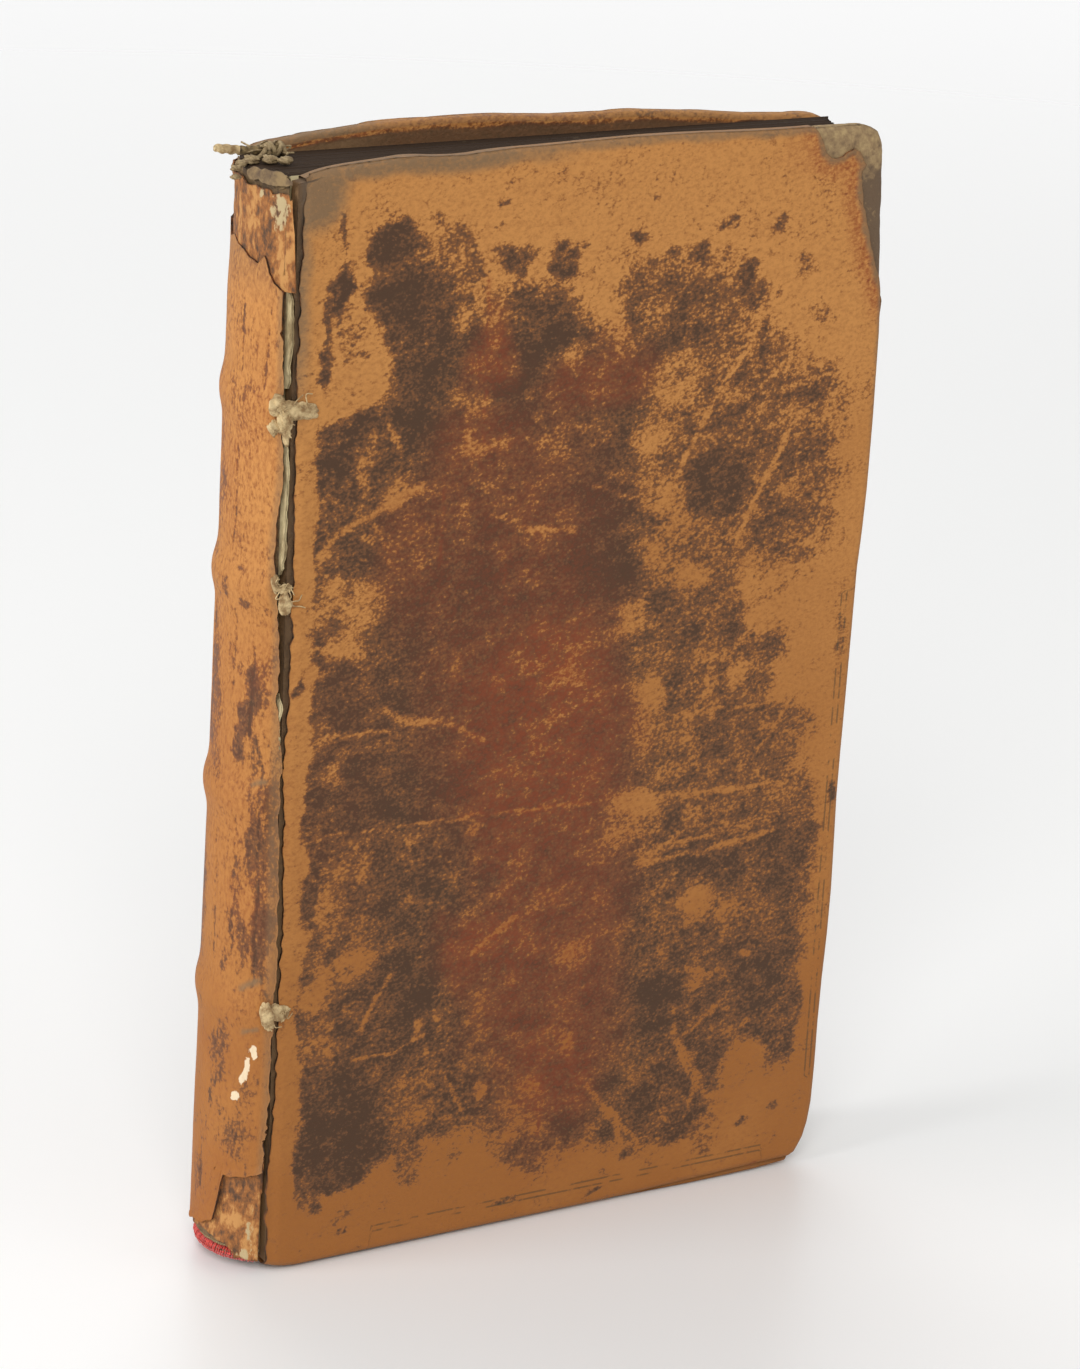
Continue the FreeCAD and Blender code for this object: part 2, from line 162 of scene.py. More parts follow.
# How fresh that layer's tears are, and where paper and paste stick to it,
# as (s, z, half width, half height, amount)
FRESH_TEARS = (
    (-8.9, 156.2, 1.4, 4.2, 1.0), (-2.0, 163.0, 1.3, 4.5, 0.85), (-10.6, 160, 0.7, 6, 0.8),
    (1.5, 160, 1.5, 4, 0.6), (-5.5, 160, 1.4, 3.5, 0.1), (-7.6, 8.4, 1.8, 1.4, 1.0),
    (-3.2, 8.0, 1.6, 2.2, 0.7), (-8.2, 13.6, 3.2, 2.6, 0.05), (-10.6, 6.5, 0.9, 5, 0.8),
)
PASTED = (
    (-8.2, 163.6, 2.0, 3.4, 1.0), (-4.5, 166.0, 0.7, 1.2, 1.0), (-10.7, 7.2, 0.8, 5.0, 0.75),
    (-9.0, 3.0, 2.2, 0.8, 0.8),
)

# The knots that the sewing cords end in at the front joint: at each level, as (x, z, half width, half height)
CORD_KNOTS = (
    ("upper", 135.2, ((1.7, 0.2, 2.8, 1.3), (-0.4, 1.0, 1.9, 0.9), (-1.9, 1.2, 1.1, 1.4),
     (-2.2, -1.9, 0.9, 1.1), (-0.9, -1.0, 1.0, 1.6), (-0.6, -3.0, 0.5, 1.4))),
    ("middle", 108.9, ((-0.2, 0.4, 1.2, 0.6), (-1.3, 1.4, 0.5, 1.3), (0.1, -1.8, 0.8, 1.4))),
    ("tail", 42.9, ((0.4, 0.1, 1.9, 1.3), (-0.9, -0.2, 1.0, 1.9), (1.8, 0.6, 1.1, 0.6),
     (-0.4, -1.4, 0.8, 0.9))),
)

# The loose endband core's bends and the lumps of thread on it, as (x, y, z) and (x, y, z, size)
LOOSE_CORE = ((4.2, 4.4, 169.5), (1.5, 4.2, 169.5), (-2.0, 3.8, 169.75), (-6.5, 3.3, 170.45))
THREAD_LUMPS = (
    (-1.6, 1.6, 168.9, 1.0), (-3.2, 1.2, 168.6, 0.8), (-4.4, 0.4, 168.2, 0.75), (-5.0, -0.6, 167.2, 0.6),
    (0.8, 0.6, 169.0, 1.0), (2.6, -0.8, 169.1, 0.9),
)
# The strips of torn paper in the cracked joint: from, to, and the seed of their noise
JOINT_PAPERS = (("lower", 83.5, 93.0, 211), ("upper", 111.0, 132.0, 213), ("head", 138.5, 152.5, 215))

# The front cover's staining. First the field that the stain covers, then patches laid over it in turn,
# each as (x, z, half width, half height, how much stain is left), and last the scratches through it
DARK_FIELD = (
    (4.3, 133), (8, 133.8), (12, 134.5), (16, 138), (16, 143), (14.5, 147), (11, 150), (11, 153.8),
    (13, 155.5), (12, 157.5), (13.5, 160.5), (18, 161.8), (20, 159.5), (22, 158), (26, 156.5), (28, 152),
    (33, 152), (36, 150), (40, 150.5), (44, 151), (45, 146), (50, 143), (54, 142), (57, 144.5), (53, 148),
    (54, 151.5), (60, 152.5), (67, 151), (72, 151), (77, 145), (78, 141.5), (83, 138), (88, 134),
    (92.5, 131), (91, 126), (92, 120), (91, 114), (93, 109), (88, 103), (83, 101), (77, 104), (76, 98),
    (78, 92), (84, 92), (86, 88), (82, 85), (88, 79), (91, 77), (90, 72), (93, 66), (94, 58), (93, 50),
    (94, 42), (92, 33), (92, 20), (88, 17), (84, 22), (80, 14), (77, 9), (70, 8), (63, 8), (58, 11),
    (53, 12), (50, 9), (44, 8.5), (38, 13), (33, 17.5), (27, 18), (24, 11), (20, 15), (13, 11), (6, 10.5),
    (4.5, 16), (4.4, 34), (4.4, 60), (4.7, 85), (4.7, 98), (4.6, 112),
)
PATCHES = (
    # Head, joint side
    (25, 158, 3, 3.5, 0.45), (22.8, 161.2, 1.2, 1, 0.6), (31.5, 162.3, 1.5, 0.8, 0.6),
    (31.6, 159, 1, 0.9, 0.6), (35, 154.3, 2.6, 2.4, 0.75), (28, 153.5, 2, 3, 0.5),
    (43.3, 154.2, 1.9, 2.4, 0.75), (46.2, 155.6, 0.9, 0.6, 0.55), (37, 148.6, 2, 1.6, 0.7),
    (42, 149.5, 1, 1.5, 0.6), (30, 149, 2, 3, 0.3), (26, 147, 1.8, 2.2, 0.15), (32, 145, 2, 5, 0.4),
    (45.5, 140, 2.2, 2.6, 0.3), (16, 158.8, 3.6, 2.6, 0.95), (17.5, 150.5, 6, 3.2, 0.9),
    (21, 142, 5, 8, 0.88), (39.5, 142.5, 4.8, 3.8, 0.92), (23, 133, 7, 4, 0.85), (36, 134, 4, 4, 0.85),
    (30, 131, 3, 4, 0.5), (28.5, 130, 0.8, 3, 0.25), (32, 127.3, 5, 1.2, 0.35), (44, 127.5, 1.5, 4, 0.45),
    (7, 126.5, 3, 4, 0.85), (12.5, 125, 1.8, 4, 0.3), (17, 121.5, 2.2, 1.3, 0.3),
    (15.5, 125.5, 2.2, 2, 0.8), (27, 135, 1.5, 1.5, 0.4), (7.1, 152.5, 1.3, 3.6, 0.95),
    (7.4, 160.5, 0.5, 4, 0.6), (6.2, 146, 0.6, 4, 0.6), (5.6, 141, 1.2, 2.8, 0.9), (9, 146.5, 2, 4, 0.35),
    (11.4, 142.5, 1, 1.3, 0.5),
    # Head, fore side
    (60, 147.5, 6.5, 4.5, 0.55), (56, 145, 2.2, 3.2, 0.62), (63.5, 147, 2.6, 4, 0.68),
    (73.8, 149, 1.6, 2.4, 0.85), (75.6, 146.4, 1.6, 2.4, 0.85), (66, 153, 1.1, 1.7, 0.75),
    (70, 156.5, 1.8, 1.4, 0.55), (69.5, 152.5, 0.9, 1.5, 0.5), (55.6, 156.2, 1.7, 0.8, 0.7),
    (62, 154, 1.3, 0.9, 0.6), (78.7, 155.6, 1.7, 1.4, 0.65), (84.6, 149.2, 1.8, 2.2, 0.5),
    (87.3, 142.5, 1.5, 1.6, 0.35), (58.2, 162.7, 0.9, 0.7, 0.4), (79, 162.8, 0.7, 0.7, 0.5),
    (74, 155, 0.8, 0.5, 0.4), (64, 139.7, 6.5, 2.2, 0.68), (77.8, 138, 1.1, 3.4, 0.8),
    (73, 136, 2.5, 3.5, 0.6), (64, 133.5, 4.5, 4.5, 0.3), (85, 133.5, 6, 3, 0.5), (72.5, 129, 4, 4, 0.55),
    (80, 127, 4, 2, 0.35), (60, 125, 4.5, 3.2, 0.2), (62.5, 121, 2.8, 1.6, 0.8),
    (53, 123.5, 3.5, 2.5, 0.88), (53, 131.5, 5, 2.6, 0.7), (72, 117, 6.5, 4.6, 0.86),
    (70, 119, 2.5, 3, 0.93), (82.3, 122.5, 1.8, 2.8, 0.75), (89, 120.5, 3, 2.6, 0.65),
    (87, 114, 4.5, 3, 0.5), (61, 115.5, 4.5, 3.5, 0.4), (52.5, 115.5, 4.5, 3.8, 0.92),
    # Middle
    (9.5, 104.5, 5, 5.8, 0.2), (8, 104, 1.6, 1.2, 0.55), (8.5, 101.5, 1.5, 1, 0.5),
    (9.5, 98.5, 4.5, 1.4, 0.15), (12.5, 94.5, 2.6, 3, 0.55), (14.5, 106.5, 1.8, 1.5, 0.25),
    (3.4, 93.6, 0.8, 1.5, 0.85), (30, 105, 10, 9, 0.82), (47, 108, 5, 5, 0.85), (53, 104.5, 6, 6, 0.95),
    (54, 95, 6, 4.5, 0.6), (57.5, 98.3, 3, 1.8, 0.2), (66.5, 103.8, 4.6, 2.3, 0.2),
    (61.5, 107, 2.2, 1.8, 0.35), (70, 96, 7.5, 4, 0.6), (76, 93.5, 2.2, 2.6, 0.75),
    (78.8, 92.2, 0.7, 0.9, 0.85), (80, 98.5, 3.2, 5.5, 0.05), (83, 89.5, 3, 2.8, 0.75),
    (67.5, 87.5, 2.6, 3.6, 0.65), (73, 85, 3.4, 5, 0.62), (71.5, 85.5, 1.3, 2.4, 0.15),
    (77, 86, 2.2, 2.2, 0.1), (62.5, 84.5, 2.6, 3.6, 0.12), (80.5, 83.5, 3.5, 2, 0.55),
    (46, 92, 5.5, 6, 0.5), (36, 90.5, 1.5, 1.5, 0.35), (48.8, 90.5, 2, 3.5, 0.35), (44, 79, 6, 6, 0.55),
    (22, 75, 12, 6, 0.82), (8, 79.5, 1.6, 2.4, 0.45), (11, 64, 3.6, 5, 0.5), (8.5, 60, 1.6, 3.2, 0.3),
    (14, 64, 1.1, 3, 0.35), (21.6, 66.5, 0.7, 1.6, 0.35), (32.5, 67.8, 1.5, 1.3, 0.3), (54, 76, 5, 8, 0.72),
    (62.5, 78, 3.4, 3.4, 0.2), (65.5, 73.5, 4.6, 3.6, 0.5), (74.5, 75.5, 2.6, 3.6, 0.7),
    (79.5, 77, 1.6, 3, 0.65), (87, 77, 4, 2, 0.55), (60, 67.5, 5, 2.6, 0.15), (57, 63, 3, 2, 0.4),
    (67, 65.5, 2, 3.4, 0.72), (74.5, 65, 3.5, 2.2, 0.6), (85, 64.5, 4.5, 3.2, 0.72),
    (92, 64, 1.8, 2.2, 0.6), (67, 60.5, 2.6, 1.4, 0.75), (78, 61, 5, 1.6, 0.35), (65, 58.3, 5, 1.4, 0.2),
    (92, 58, 2, 2.2, 0.8), (95.5, 90, 1.4, 6, 0.4), (96.8, 64, 0.9, 2.2, 0.85),
    # Tail
    (14, 48.8, 3.3, 3.3, 0.2), (13, 48.5, 1.1, 1.1, 0.6), (7.5, 45, 2.8, 3.2, 0.15),
    (4.5, 53, 1.8, 1.2, 0.2), (7, 50.5, 2.5, 2.2, 0.5), (24, 44, 4.5, 6, 0.9), (24.5, 41.3, 3.6, 1.7, 0.98),
    (16, 42, 3, 5, 0.75), (24.6, 36.8, 0.8, 1.8, 0.2), (28.6, 35.4, 1.8, 2.6, 0.5), (8, 35, 4, 4.5, 0.5),
    (8, 36, 1.5, 2, 0.35), (12.5, 21, 7.8, 8.3, 0.95), (9, 26, 4, 3, 0.92), (7, 11, 1.5, 1.4, 0.5),
    (25, 24, 5, 6, 0.5), (23.5, 14, 2, 3, 0.45), (35.5, 27.3, 2.6, 2, 0.75), (36.3, 24, 1.4, 0.9, 0.1),
    (39, 28.5, 1.6, 2, 0.4), (42, 36, 8, 6, 0.7), (35, 33, 3, 3, 0.5), (46.5, 11.5, 2.6, 2.4, 0.6),
    (40, 14.5, 2.2, 2, 0.4), (31.5, 14, 1.4, 2, 0.3), (51, 17.5, 2, 4.5, 0.8), (44, 20, 5, 3.5, 0.45),
    (28, 20, 4, 1.5, 0.5), (56, 31, 5, 8, 0.82), (52.5, 42.5, 3, 2, 0.4), (52, 28, 1.6, 2.4, 0.35),
    (63, 43.5, 3, 3, 0.85), (67, 35.5, 3, 2.8, 0.92), (67, 42, 1.2, 1.4, 0.3), (73, 49, 3.2, 3.2, 0.2),
    (65, 51.5, 3, 1.8, 0.5), (88, 52, 4.4, 3.2, 0.88), (80, 53, 6, 3, 0.62), (83, 45, 5, 3.5, 0.65),
    (78, 46, 2.2, 2.2, 0.3), (73.5, 36.5, 2, 2, 0.35), (82, 38.5, 1.1, 0.7, 0.1),
    (85, 33.5, 3.8, 5.6, 0.92), (91.5, 25, 1.5, 9.5, 0.75), (88.5, 20.5, 2.2, 3.5, 0.75),
    (83.5, 19, 3.4, 4.2, 0.12), (80, 14, 2.6, 2, 0.15), (65, 17, 4.6, 4.6, 0.72), (54, 15, 3.2, 3, 0.82),
    (71.5, 13, 2.6, 4.6, 0.65), (75.5, 23, 3, 4, 0.75), (84, 9, 1.3, 1.1, 0.7),
    (89.2, 10.5, 0.9, 0.9, 0.75), (62.3, 8.3, 1.3, 1.3, 0.7), (58, 6.2, 1, 1, 0.5),
    (57, 2.6, 1.1, 0.7, 0.6), (77, 7, 2, 1.8, 0.35), (13, 7, 2, 1, 0.35), (12.8, 4.2, 0.8, 0.7, 0.4),
    (41, 3.8, 2.4, 0.8, 0.6),
)
SCRATCHES = (
    (((21.5, 122.6), (17.5, 120.4), (12, 118.3), (7, 115.4), (5.5, 113)), 1.4),
    (((33, 116.5), (40, 113.6), (47, 112.6)), 0.8), (((79.5, 147.5), (84, 142.5), (88.8, 137)), 1.9),
    (((75.5, 137.5), (70, 130.5), (65.5, 121.5), (61.5, 114)), 1.4),
    (((83.5, 124), (79, 115.5), (75.5, 108)), 1.2), (((50, 119), (54, 117.8), (57.5, 116.3)), 0.6),
    (((17, 88.5), (20.5, 86), (26, 85.5), (30, 83.5), (33.5, 81.5)), 1.1),
    (((6, 85.6), (12, 85.4), (18, 85.2)), 0.7), (((4.4, 70), (10, 70), (15.5, 69.7)), 0.5),
    (((20, 69.6), (36, 69.5), (53, 68.4)), 0.5), (((66, 81), (75, 80.7), (83.5, 80.4)), 0.7),
    (((65, 67.8), (75, 67.4), (87, 66.9)), 0.8), (((82, 73), (84.5, 76), (87.3, 79.8)), 0.6),
    (((86.5, 75.6), (90, 75.2)), 0.4), (((65, 62.4), (69.5, 59.4)), 0.6),
    (((62, 57.2), (72, 57.6), (86, 58.9)), 1.0), (((66, 60), (76, 59.8)), 0.5),
    (((19.6, 46), (17, 42), (15, 38)), 0.7), (((40.5, 52), (36, 49), (33, 47)), 0.8),
    (((77.4, 30.5), (73.6, 27.6), (70.4, 26.2)), 0.8), (((69.8, 31), (70.2, 26.4)), 0.9),
    (((70.4, 26.2), (74, 20.8), (76.5, 15.5), (79.5, 11.5)), 1.3),
    (((71.5, 24), (74.4, 18), (73, 12)), 0.7), (((55, 21.2), (58, 17), (60.4, 14.2), (61.6, 10)), 1.2),
    (((60.4, 14.2), (65.5, 8.6)), 0.8), (((15, 133), (16.5, 130), (18, 127.2)), 0.8),
    (((14, 117.5), (16, 113.5)), 0.7), (((12, 116), (17, 111)), 0.6),
    (((29, 28.5), (31, 25), (33, 21)), 0.7), (((26, 35), (20, 33), (14, 33)), 0.5),
)
RUDDY_PATCHES = (
    (38, 98, 17, 34, 0.55), (47, 50, 13, 34, 0.7), (44, 80, 13, 16, 0.95), (25, 112, 10, 12, 0.5),
    (45, 92, 6, 8, 1.0), (32, 143, 4, 6, 0.8), (50, 136, 9, 5, 0.7), (36, 90, 4, 6, 1.0),
    (12, 22, 6, 7, 0.05), (88, 165, 8, 4, 0.35), (36, 48, 9, 6, 0.9), (48, 24, 5, 6, 0.8),
    (86.9, 1.7, 0.6, 1.0, 1.0), (30, 128, 8, 6, 0.6), (10, 80, 9, 24, 0.15),
)
RED_STREAKS = (
    (((40.5, 67), (40.8, 61)), 0.9), (((52.5, 55), (52.0, 22)), 0.8), (((36, 112), (35.4, 82)), 0.9),
    (((45.4, 98), (45.2, 60)), 0.9), (((25, 122), (24.6, 110)), 0.7), (((47, 60), (46.5, 14)), 0.8),
    (((30, 70), (42, 69.3), (55, 68.6)), 0.7), (((31, 152), (31, 128)), 0.6), (((41, 60), (40.6, 34)), 0.7),
)
# Fresh tears in the leather turned in at the head
TURN_IN_TEARS = ((((23, 170.8), (19, 170.1), (12, 169.4), (4, 168.5)), 0.6),)
# The spine's staining, as (s, z, half width, half height, how much stain is left), and its creases
SPINE_PATCHES = (
    (-3, 136, 3, 2, 0.3), (-1, 108, 1.1, 1.6, 0.6), (-5, 106, 1, 1, 0.4), (-7.5, 93, 1.5, 4, 0.7),
    (-6, 88, 1.5, 3, 0.6), (-9.5, 95, 0.8, 5, 0.5), (-5, 96, 0.8, 1.5, 0.5), (-8, 83, 1.5, 3.5, 0.7),
    (-4.5, 84, 1.2, 3, 0.65), (-11, 66, 1.6, 15, 0.55), (-10, 57, 1.2, 8, 0.7), (-8.5, 70, 1.2, 8, 0.5),
    (-7, 54, 1.5, 5, 0.55), (-4.5, 53, 0.8, 5, 0.5), (-6.5, 62, 1, 5, 0.5), (-11.4, 48, 0.8, 3, 0.6),
    (-4, 35, 2, 5, 0.5), (-7.5, 22, 2.5, 4, 0.4), (-5, 24, 1, 3, 0.4), (-3, 30, 1, 5, 0.4),
    (-9, 27, 1.2, 4, 0.35), (2, 90, 2.5, 12, 0.45), (5, 60, 3, 16, 0.5), (4, 122, 2, 9, 0.4),
    (8, 30, 3, 12, 0.5), (7, 145, 2, 8, 0.45), (0, 14, 1.5, 4, 0.5),
)
SPINE_CREASES = (
    (((-2.1, 129), (-2.2, 112)), 0.3), (((-2.2, 149), (-2.0, 140)), 0.35), (((-3.4, 105), (-3.6, 92)), 0.3),
    (((-1.2, 70), (-1.6, 50)), 0.3), (((-5.2, 73), (-5.4, 50)), 0.3), (((-7.8, 150), (-7.2, 138)), 0.3),
    (((3.0, 104), (3.4, 84)), 0.35), (((-0.6, 20), (-0.9, 12)), 0.45), (((6.2, 133), (6.0, 112)), 0.35),
    (((-9.2, 82), (-9.4, 47)), 0.3), (((-7.4, 100), (-7.0, 82)), 0.3),
)
# Grey scuffs where the leather has cracked over the bands
SPINE_SCUFFS = (
    (((-10.4, 48.2), (-7.6, 46.6)), 0.9), (((-10.2, 40.4), (-8.3, 39.6)), 0.9),
    (((-10.0, 79.5), (-8.2, 78.8)), 0.8),
)
# Pale flecks on the spine near its cracked edge
FLECKS = (
    (-9.9, 36.6, 0.55, 1.3, 1), (-9.0, 33.8, 0.5, 1.9, 1), (-8.3, 31.8, 0.5, 1.0, 1),
    (-7.3, 29.2, 0.75, 0.8, 1),
)


def linear(code):
    """A colour written as sRGB hex, as the linear values that Blender's colour sockets take."""
    parts = [int(code[i:i + 2], 16) / 255 for i in (1, 3, 5)]
    return tuple(p / 12.92 if p <= 0.04045 else ((p + 0.055) / 1.055) ** 2.4 for p in parts)


def rgba(colour):
    return (*colour[:3], 1.0)


def smooth(low, high, value):
    t = np.clip((value - low) / (high - low), 0, 1)
    return t * t * (3 - 2 * t)


def lattice(i, j, seed):
    """A steady random number from 0 to 1 for each whole-numbered place."""
    h = (i.astype(np.int64) * 374761393 + j.astype(np.int64) * 668265263 + seed * 974634777) & 0xFFFFFFFF
    h = ((h ^ (h >> 13)) * 1274126177) & 0xFFFFFFFF
    return ((h ^ (h >> 16)) & 0xFFFF) / 65535.0


def mottle(x, z, size, seed, octaves=4):
    """Layered noise from about -1 to 1 whose largest spots are size across."""
    x, z = np.broadcast_arrays(np.asarray(x, float), np.asarray(z, float))
    total, weight, share = np.zeros(x.shape), 0.0, 1.0
    for octave in range(octaves):
        u, v = x / size * 2 ** octave, z / size * 2 ** octave
        i, j = np.floor(u), np.floor(v)
        fu, fv = smooth(0, 1, u - i), smooth(0, 1, v - j)
        low = lattice(i, j, seed + octave) * (1 - fu) + lattice(i + 1, j, seed + octave) * fu
        high = lattice(i, j + 1, seed + octave) * (1 - fu) + lattice(i + 1, j + 1, seed + octave) * fu
        total += share * (low * (1 - fv) + high * fv - 0.5) * 2
        weight += share
        share *= 0.5
    return total / weight * 1.4


def along(table, value):
    """Reads a line of (place, amount) pairs."""
    return np.interp(value, [p[0] for p in table], [p[1] for p in table])


def paint(x, z, table, seed, base, size=4.5, sway=1.5):
    """Lays soft-edged patches over a base one after another, their outlines broken up by noise."""
    wx, wz = x + sway * mottle(x, z, size, seed), z + sway * mottle(x, z, size, seed + 9)
    level = np.array(np.broadcast_to(base, np.shape(x)), float)
    for cx, cz, rx, rz, amount in table:
        cover = smooth(1.45, 0.5, np.hypot((wx - cx) / rx, (wz - cz) / rz))
        level = level * (1 - cover) + amount * cover
    return level


def line_distance(x, z, line):
    nearest = np.full(np.shape(x), np.inf)
    for (ax, az), (bx, bz) in zip(line, line[1:]):
        length = (bx - ax) ** 2 + (bz - az) ** 2
        t = np.clip(((x - ax) * (bx - ax) + (z - az) * (bz - az)) / length, 0, 1)
        nearest = np.minimum(nearest, np.hypot(x - ax - t * (bx - ax), z - az - t * (bz - az)))
    return nearest


def strokes(x, z, table, seed):
    """How strongly drawn lines mark each place, from 0 to 1, the lines uneven in width."""
    wx, wz = x + 0.35 * mottle(x, z, 3, seed), z + 0.35 * mottle(x, z, 3, seed + 5)
    best = np.zeros(np.shape(x))
    for line, width in table:
        reach = width * (0.85 + 0.6 * mottle(x, z, 2.5, seed + 7))
        best = np.maximum(best, smooth(reach, 0, line_distance(wx, wz, line)) * (reach > 0.1))
    return best


def inside(x, z, outline):
    """Distance into a closed outline, negative outside it."""
    closed = [*outline, outline[0]]
    odd = np.zeros(np.shape(x), bool)
    for (ax, az), (bx, bz) in zip(closed, closed[1:]):
        if az != bz:
            odd ^= ((az > z) != (bz > z)) & (x < (bx - ax) * (z - az) / (bz - az) + ax)
    return np.where(odd, 1, -1) * line_distance(x, z, closed)


def spaced(count, length, fine_start, fine_end, ease=6.0):
    """Places from 0 to 1 along a length, drawn together towards the ends asked for."""
    t = np.linspace(0, length, 2000)
    step = np.ones(2000)
    if fine_start:
        step = np.minimum(step, fine_start + (1 - fine_start) * smooth(0, ease, t))
    if fine_end:
        step = np.minimum(step, fine_end + (1 - fine_end) * smooth(0, ease, length - t))
    tally = np.concatenate([[0], np.cumsum((1 / step[1:] + 1 / step[:-1]) / 2)])
    return np.interp(np.linspace(0, tally[-1], count), tally, t) / length


def resample(line, places):
    """Points at shares of a drawn line's length."""
    line = np.asarray(line, float)
    run = np.concatenate([[0], np.cumsum(np.hypot(*np.diff(line, axis=0).T))])
    return np.column_stack([np.interp(places * run[-1], run, line[:, k]) for k in (0, 1)])


def patch(tail, head, joint, fore, u, v):
    """Fills four border lines, each given as points, with a grid of (x, z)."""
    u, v = u[None, :, None], v[:, None, None]
    corners = ((1 - u) * (1 - v) * tail[0] + u * (1 - v) * tail[-1]
               + (1 - u) * v * head[0] + u * v * head[-1])
    return (1 - v) * tail[None] + v * head[None] + (1 - u) * joint[:, None] + u * fore[:, None] - corners


def place_front(points):
    """From the front cover's own frame to the book's."""
    x, y, z = points[..., 0], points[..., 1], points[..., 2]
    c, s = math.cos(TOE), math.sin(TOE)
    return np.stack([HINGE_X + x * c - y * s, -HINGE_HALF + x * s + y * c, z], -1)


def place_back(points):
    placed = place_front(points)
    placed[..., 1] *= -1
    return placed


class Shape:
    """Gathers rows of points into one mesh, with named values on its points."""

    def __init__(self):
        self.points, self.faces, self.finishes, self.values, self.count = [], [], [], {}, 0

    def add(self, points, **values):
        flat = points.reshape(-1, 3)
        number = np.arange(self.count, self.count + len(flat)).reshape(points.shape[:-1])
        self.points.append(flat)
        for name, value in values.items():
            spread = np.broadcast_to(value, number.shape)
            self.values.setdefault(name, []).append((number.ravel(), spread.ravel()))
        self.count += len(flat)
        return number

    def weave(self, rows, finish=0, flip=False):
        """Faces between neighbouring rows of point numbers."""
        corners = [rows[:-1, :-1], rows[1:, :-1], rows[1:, 1:], rows[:-1, 1:]]
        quads = np.stack(corners[::-1] if flip else corners, -1).reshape(-1, 4)
        self.faces.append(quads)
        self.finishes.append(np.full(len(quads), finish))

    def build(self, name, finishes, weld=0.0):
        points = np.concatenate(self.points) * MM
        faces = np.concatenate(self.faces)
        mesh = bpy.data.meshes.new(name)
        mesh.from_pydata(points.tolist(), [], faces.tolist())
        for finish in finishes:
            mesh.materials.append(finish)
        mesh.polygons.foreach_set("material_index", np.concatenate(self.finishes).astype(np.int32))
        mesh.polygons.foreach_set("use_smooth", np.ones(len(faces), bool))
        for key, parts in self.values.items():
            amounts = np.zeros(self.count, np.float32)
            for number, value in parts:
                amounts[number] = value
            mesh.attributes.new(key, "FLOAT", "POINT").data.foreach_set("value", amounts)
        mesh.update()
        piece = bpy.data.objects.new(name, mesh)
        bpy.context.scene.collection.objects.link(piece)
        if weld:
            weld_points(mesh, weld * MM)
        return piece


def weld_points(mesh, distance):
    work = bmesh.new()
    work.from_mesh(mesh)
    bmesh.ops.remove_doubles(work, verts=work.verts, dist=distance)
    bmesh.ops.dissolve_degenerate(work, edges=work.edges, dist=distance / 4)
    work.to_mesh(mesh)
    work.free()


def smooth_line(line, rounds=2):
    """Cuts a drawn line's corners, so that it curves."""
    line = np.asarray(line, float)
    for _ in range(rounds):
        cut = np.empty((2 * len(line) - 2, 2))
        cut[0::2] = line[:-1] * 0.75 + line[1:] * 0.25
        cut[1::2] = line[:-1] * 0.25 + line[1:] * 0.75
        line = np.vstack([line[:1], cut, line[-1:]])
    return line


def ragged(line, amount, size, seed, step=0.3):
    """Resamples a torn line finely and roughens it sideways."""
    line = np.asarray(line, float)
    run = np.concatenate([[0], np.cumsum(np.hypot(*np.diff(line, axis=0).T))])
    places = np.arange(0, run[-1], step)
    fine = np.column_stack([np.interp(places, run, line[:, k]) for k in (0, 1)])
    fine = np.vstack([fine, line[-1:]])
    way = np.gradient(fine, axis=0)
    way /= np.maximum(np.hypot(*way.T), 1e-9)[:, None]
    push = amount * mottle(np.arange(len(fine)) * step, 0, size, seed, 3)
    push[[0, -1]] = 0
    return fine + np.column_stack([-way[:, 1], way[:, 0]]) * push[:, None]


# Materials

# The sizes of the hide's patterns in millimetres, and how strongly three of them break up the stain
BROAD_MM, BLOTCH_MM, SPECK_MM, PORE_MM = 25, 3.6, 0.65, 0.5
BLOTCH_SHARE, SPECK_SHARE, PORE_SHARE = 1.6, 1.7, 0.45
# The double rule: how far in each line lies and half its width
RULES, RULE_HALF = (2.2, 3.1), 0.14
RULE_FAR = 30


def add(tree, kind, links=None, **settings):
    """Adds a node with its settings; links gives its inputs values, sockets or whole nodes."""
    node = tree.nodes.new(kind)
    for name, value in settings.items():
        setattr(node, name, value)
    for name, value in (links or {}).items():
        if isinstance(value, bpy.types.Node):
            value = next(socket for socket in value.outputs if socket.enabled)
        if isinstance(value, bpy.types.NodeSocket):
            tree.links.new(value, node.inputs[name])
        else:
            node.inputs[name].default_value = value
    return node


def start_material(name):
    """An empty material, its shader and the place on the surface in millimetres."""
    material = bpy.data.materials.new(name)
    material.use_nodes = True
    tree = material.node_tree
    tree.nodes.clear()
    shader = add(tree, "ShaderNodeBsdfPrincipled")
    add(tree, "ShaderNodeOutputMaterial", {"Surface": shader})
    place = add(tree, "ShaderNodeTexCoord").outputs["Object"]
    place = add(tree, "ShaderNodeVectorMath", {0: place, "Scale": 1 / MM}, operation="SCALE")
    return material, tree, shader, place


def set_surface(tree, shader, colour, roughness, height, relief_mm):
    """Gives a finish its mixed colour, its roughness and its relief."""
    tree.links.new(colour.outputs[2], shader.inputs["Base Color"])
    shader.inputs["Roughness"].default_value = roughness
    bump = add(tree, "ShaderNodeBump", {"Height": height, "Distance": relief_mm * MM, "Strength": 1.0})
    tree.links.new(bump.outputs[0], shader.inputs["Normal"])


